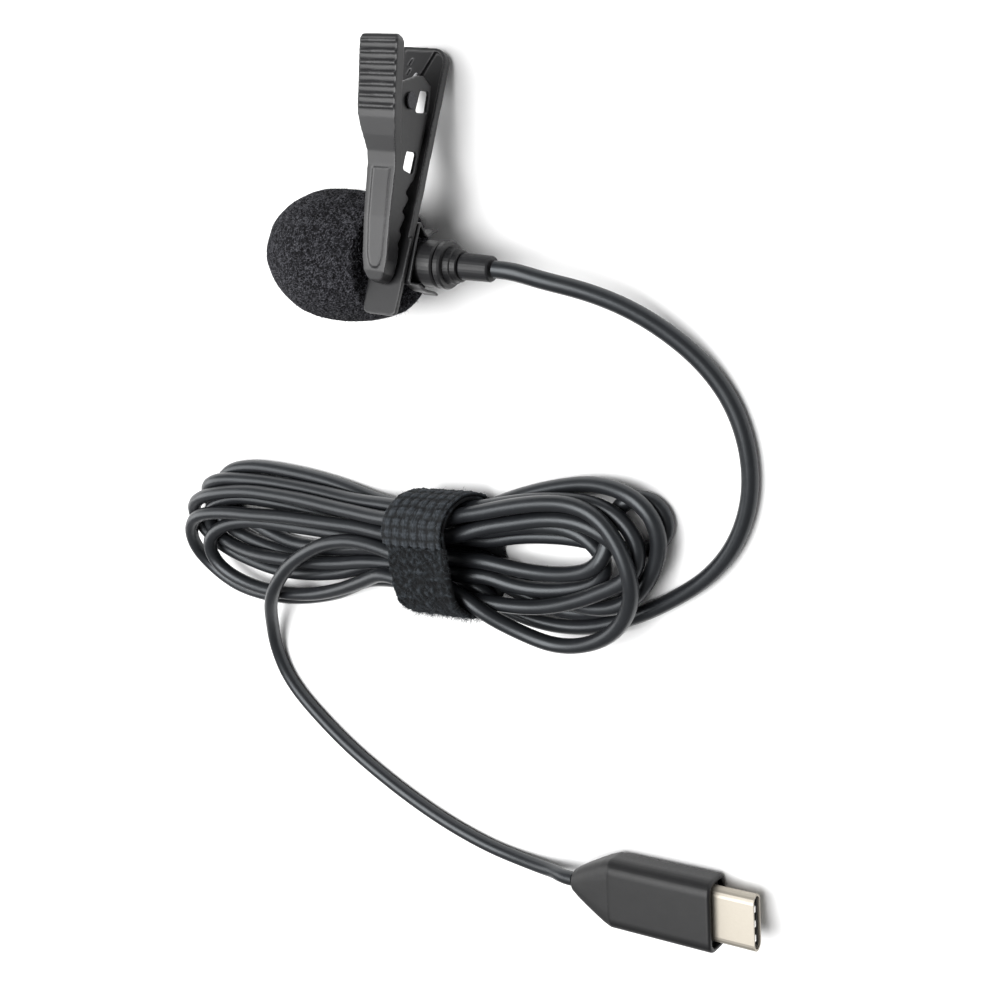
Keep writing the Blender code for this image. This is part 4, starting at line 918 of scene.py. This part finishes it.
def plug_body():
    """Nose and housing moulded as one skin, the nose a shade lighter."""
    a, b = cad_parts["plug_nose"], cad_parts["plug_housing"]
    inv = PLUG_M.inverted()
    bm = bmesh.new()
    for src in (a, b):
        me = src.data.copy()
        me.transform(Matrix.Scale(1000.0, 4) @ src.matrix_world)
        me.transform(inv)
        bm.from_mesh(me)
    for v in bm.verts:                                   # the two meet inside the skin
        if abs(v.co.x - 7.0) < 0.01 and math.hypot(v.co.y, v.co.z) > 1.0:
            v.co.x += 0.30
    me = bpy.data.meshes.new("plug_body")
    bm.to_mesh(me)
    bm.free()
    me.materials.clear()
    ob = add("plug_body", me, "microphone", ())
    r = ob.modifiers.new("even", 'REMESH')
    r.mode = 'VOXEL'
    r.voxel_size = 0.15
    m = ob.modifiers.new("soft", 'SMOOTH')
    m.iterations, m.factor = 6, 0.5
    applied(ob)
    me = ob.data
    me.materials.clear()
    me.materials.append(HOUSING)
    me.materials.append(NOSE)
    me.polygons.foreach_set("material_index", [1 if p.center.x < 7.2 else 0 for p in me.polygons])
    me.transform(PLUG_M)
    me.transform(Matrix.Scale(MM, 4))
    me.shade_smooth()
    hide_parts("plug_nose", "plug_housing")
    return ob


plug_piece = plug_body()
for ob in (rear, front, clasp):
    edge_mask(ob)
for node, mat in (("mic_barrel", PAINT), ("front_grille", GRILLE), ("capsule_gasket", COLLAR), ("electret_capsule", CAN),
                  ("rear_flange_ring", PAINT), ("stepped_collar", COLLAR), ("strain_boot", BOOT), ("swivel_rivet", PIN),
                  ("hinge_pin", PIN),
                  ("front_bezel", BEZEL), ("usb_shell", NICKEL), ("plug_insulator", BLACK_IN), ("contact_row_upper", GOLD),
                  ("contact_row_lower", GOLD), ("ground_spring", TIPS), ("converter_board", BOARD),
                  ("converter_chip", BLACK_IN)):
    remat(node, mat)



def spring_legs():
    """The spring as one piece copied from the CAD, in the spring wire material, with its transform baked in."""
    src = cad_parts["torsion_spring"]
    me = src.data.copy()
    me.materials.clear()
    me.materials.append(SPRING)
    me.transform(src.matrix_world)
    ob = bpy.data.objects.new("torsion_spring_bent", me)
    bpy.context.scene.collection.objects.link(ob)
    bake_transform(ob)
    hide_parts("torsion_spring")
    return ob


spring_legs()

# ---- floor and light ------------------------------------------------------------------------------------
me = mesh_of("floor", [(-3, -3, 0), (3, -3, 0), (3, 3, 0), (-3, 3, 0)], [(0, 1, 2, 3)], False)
floor = bpy.data.objects.new("floor", me)
bpy.context.scene.collection.objects.link(floor)
fm = Nodes("floor_white")
fm.colour(fm.ramp(fm.noise(0.02, 2.0, 0.5), [(0.3, (0.86, 0.86, 0.86)), (0.7, (0.88, 0.88, 0.88))]))
fm.set(Roughness=0.9, Specular_IOR_Level=0.2)
me.materials.append(fm.m)

world = bpy.data.worlds.new("studio")
bpy.context.scene.world = world
world.use_nodes = True
bg = world.node_tree.nodes["Background"]
bg.inputs["Color"].default_value = (1.0, 1.0, 1.0, 1.0)
bg.inputs["Strength"].default_value = 0.25


def area(name, pos, target, size, power):
    d = bpy.data.lights.new(name, 'AREA')
    d.shape = 'RECTANGLE'
    d.size, d.size_y = size
    d.energy = power
    o = bpy.data.objects.new(name, d)
    bpy.context.scene.collection.objects.link(o)
    o.location = pos
    o.rotation_euler = (Vector(target) - Vector(pos)).to_track_quat('-Z', 'Y').to_euler()
    return o


area("softbox_top", (-0.12, 0.10, 0.70), (0.0, -0.05, 0.0), (0.60, 0.60), 9.6)
area("softbox_left", (-0.55, -0.10, 0.30), (0.0, -0.05, 0.0), (0.35, 0.5), 1.9)
bpy.context.scene.view_settings.view_transform = 'Standard'
bpy.context.scene.view_settings.look = 'None'

bpy.context.view_layer.update()
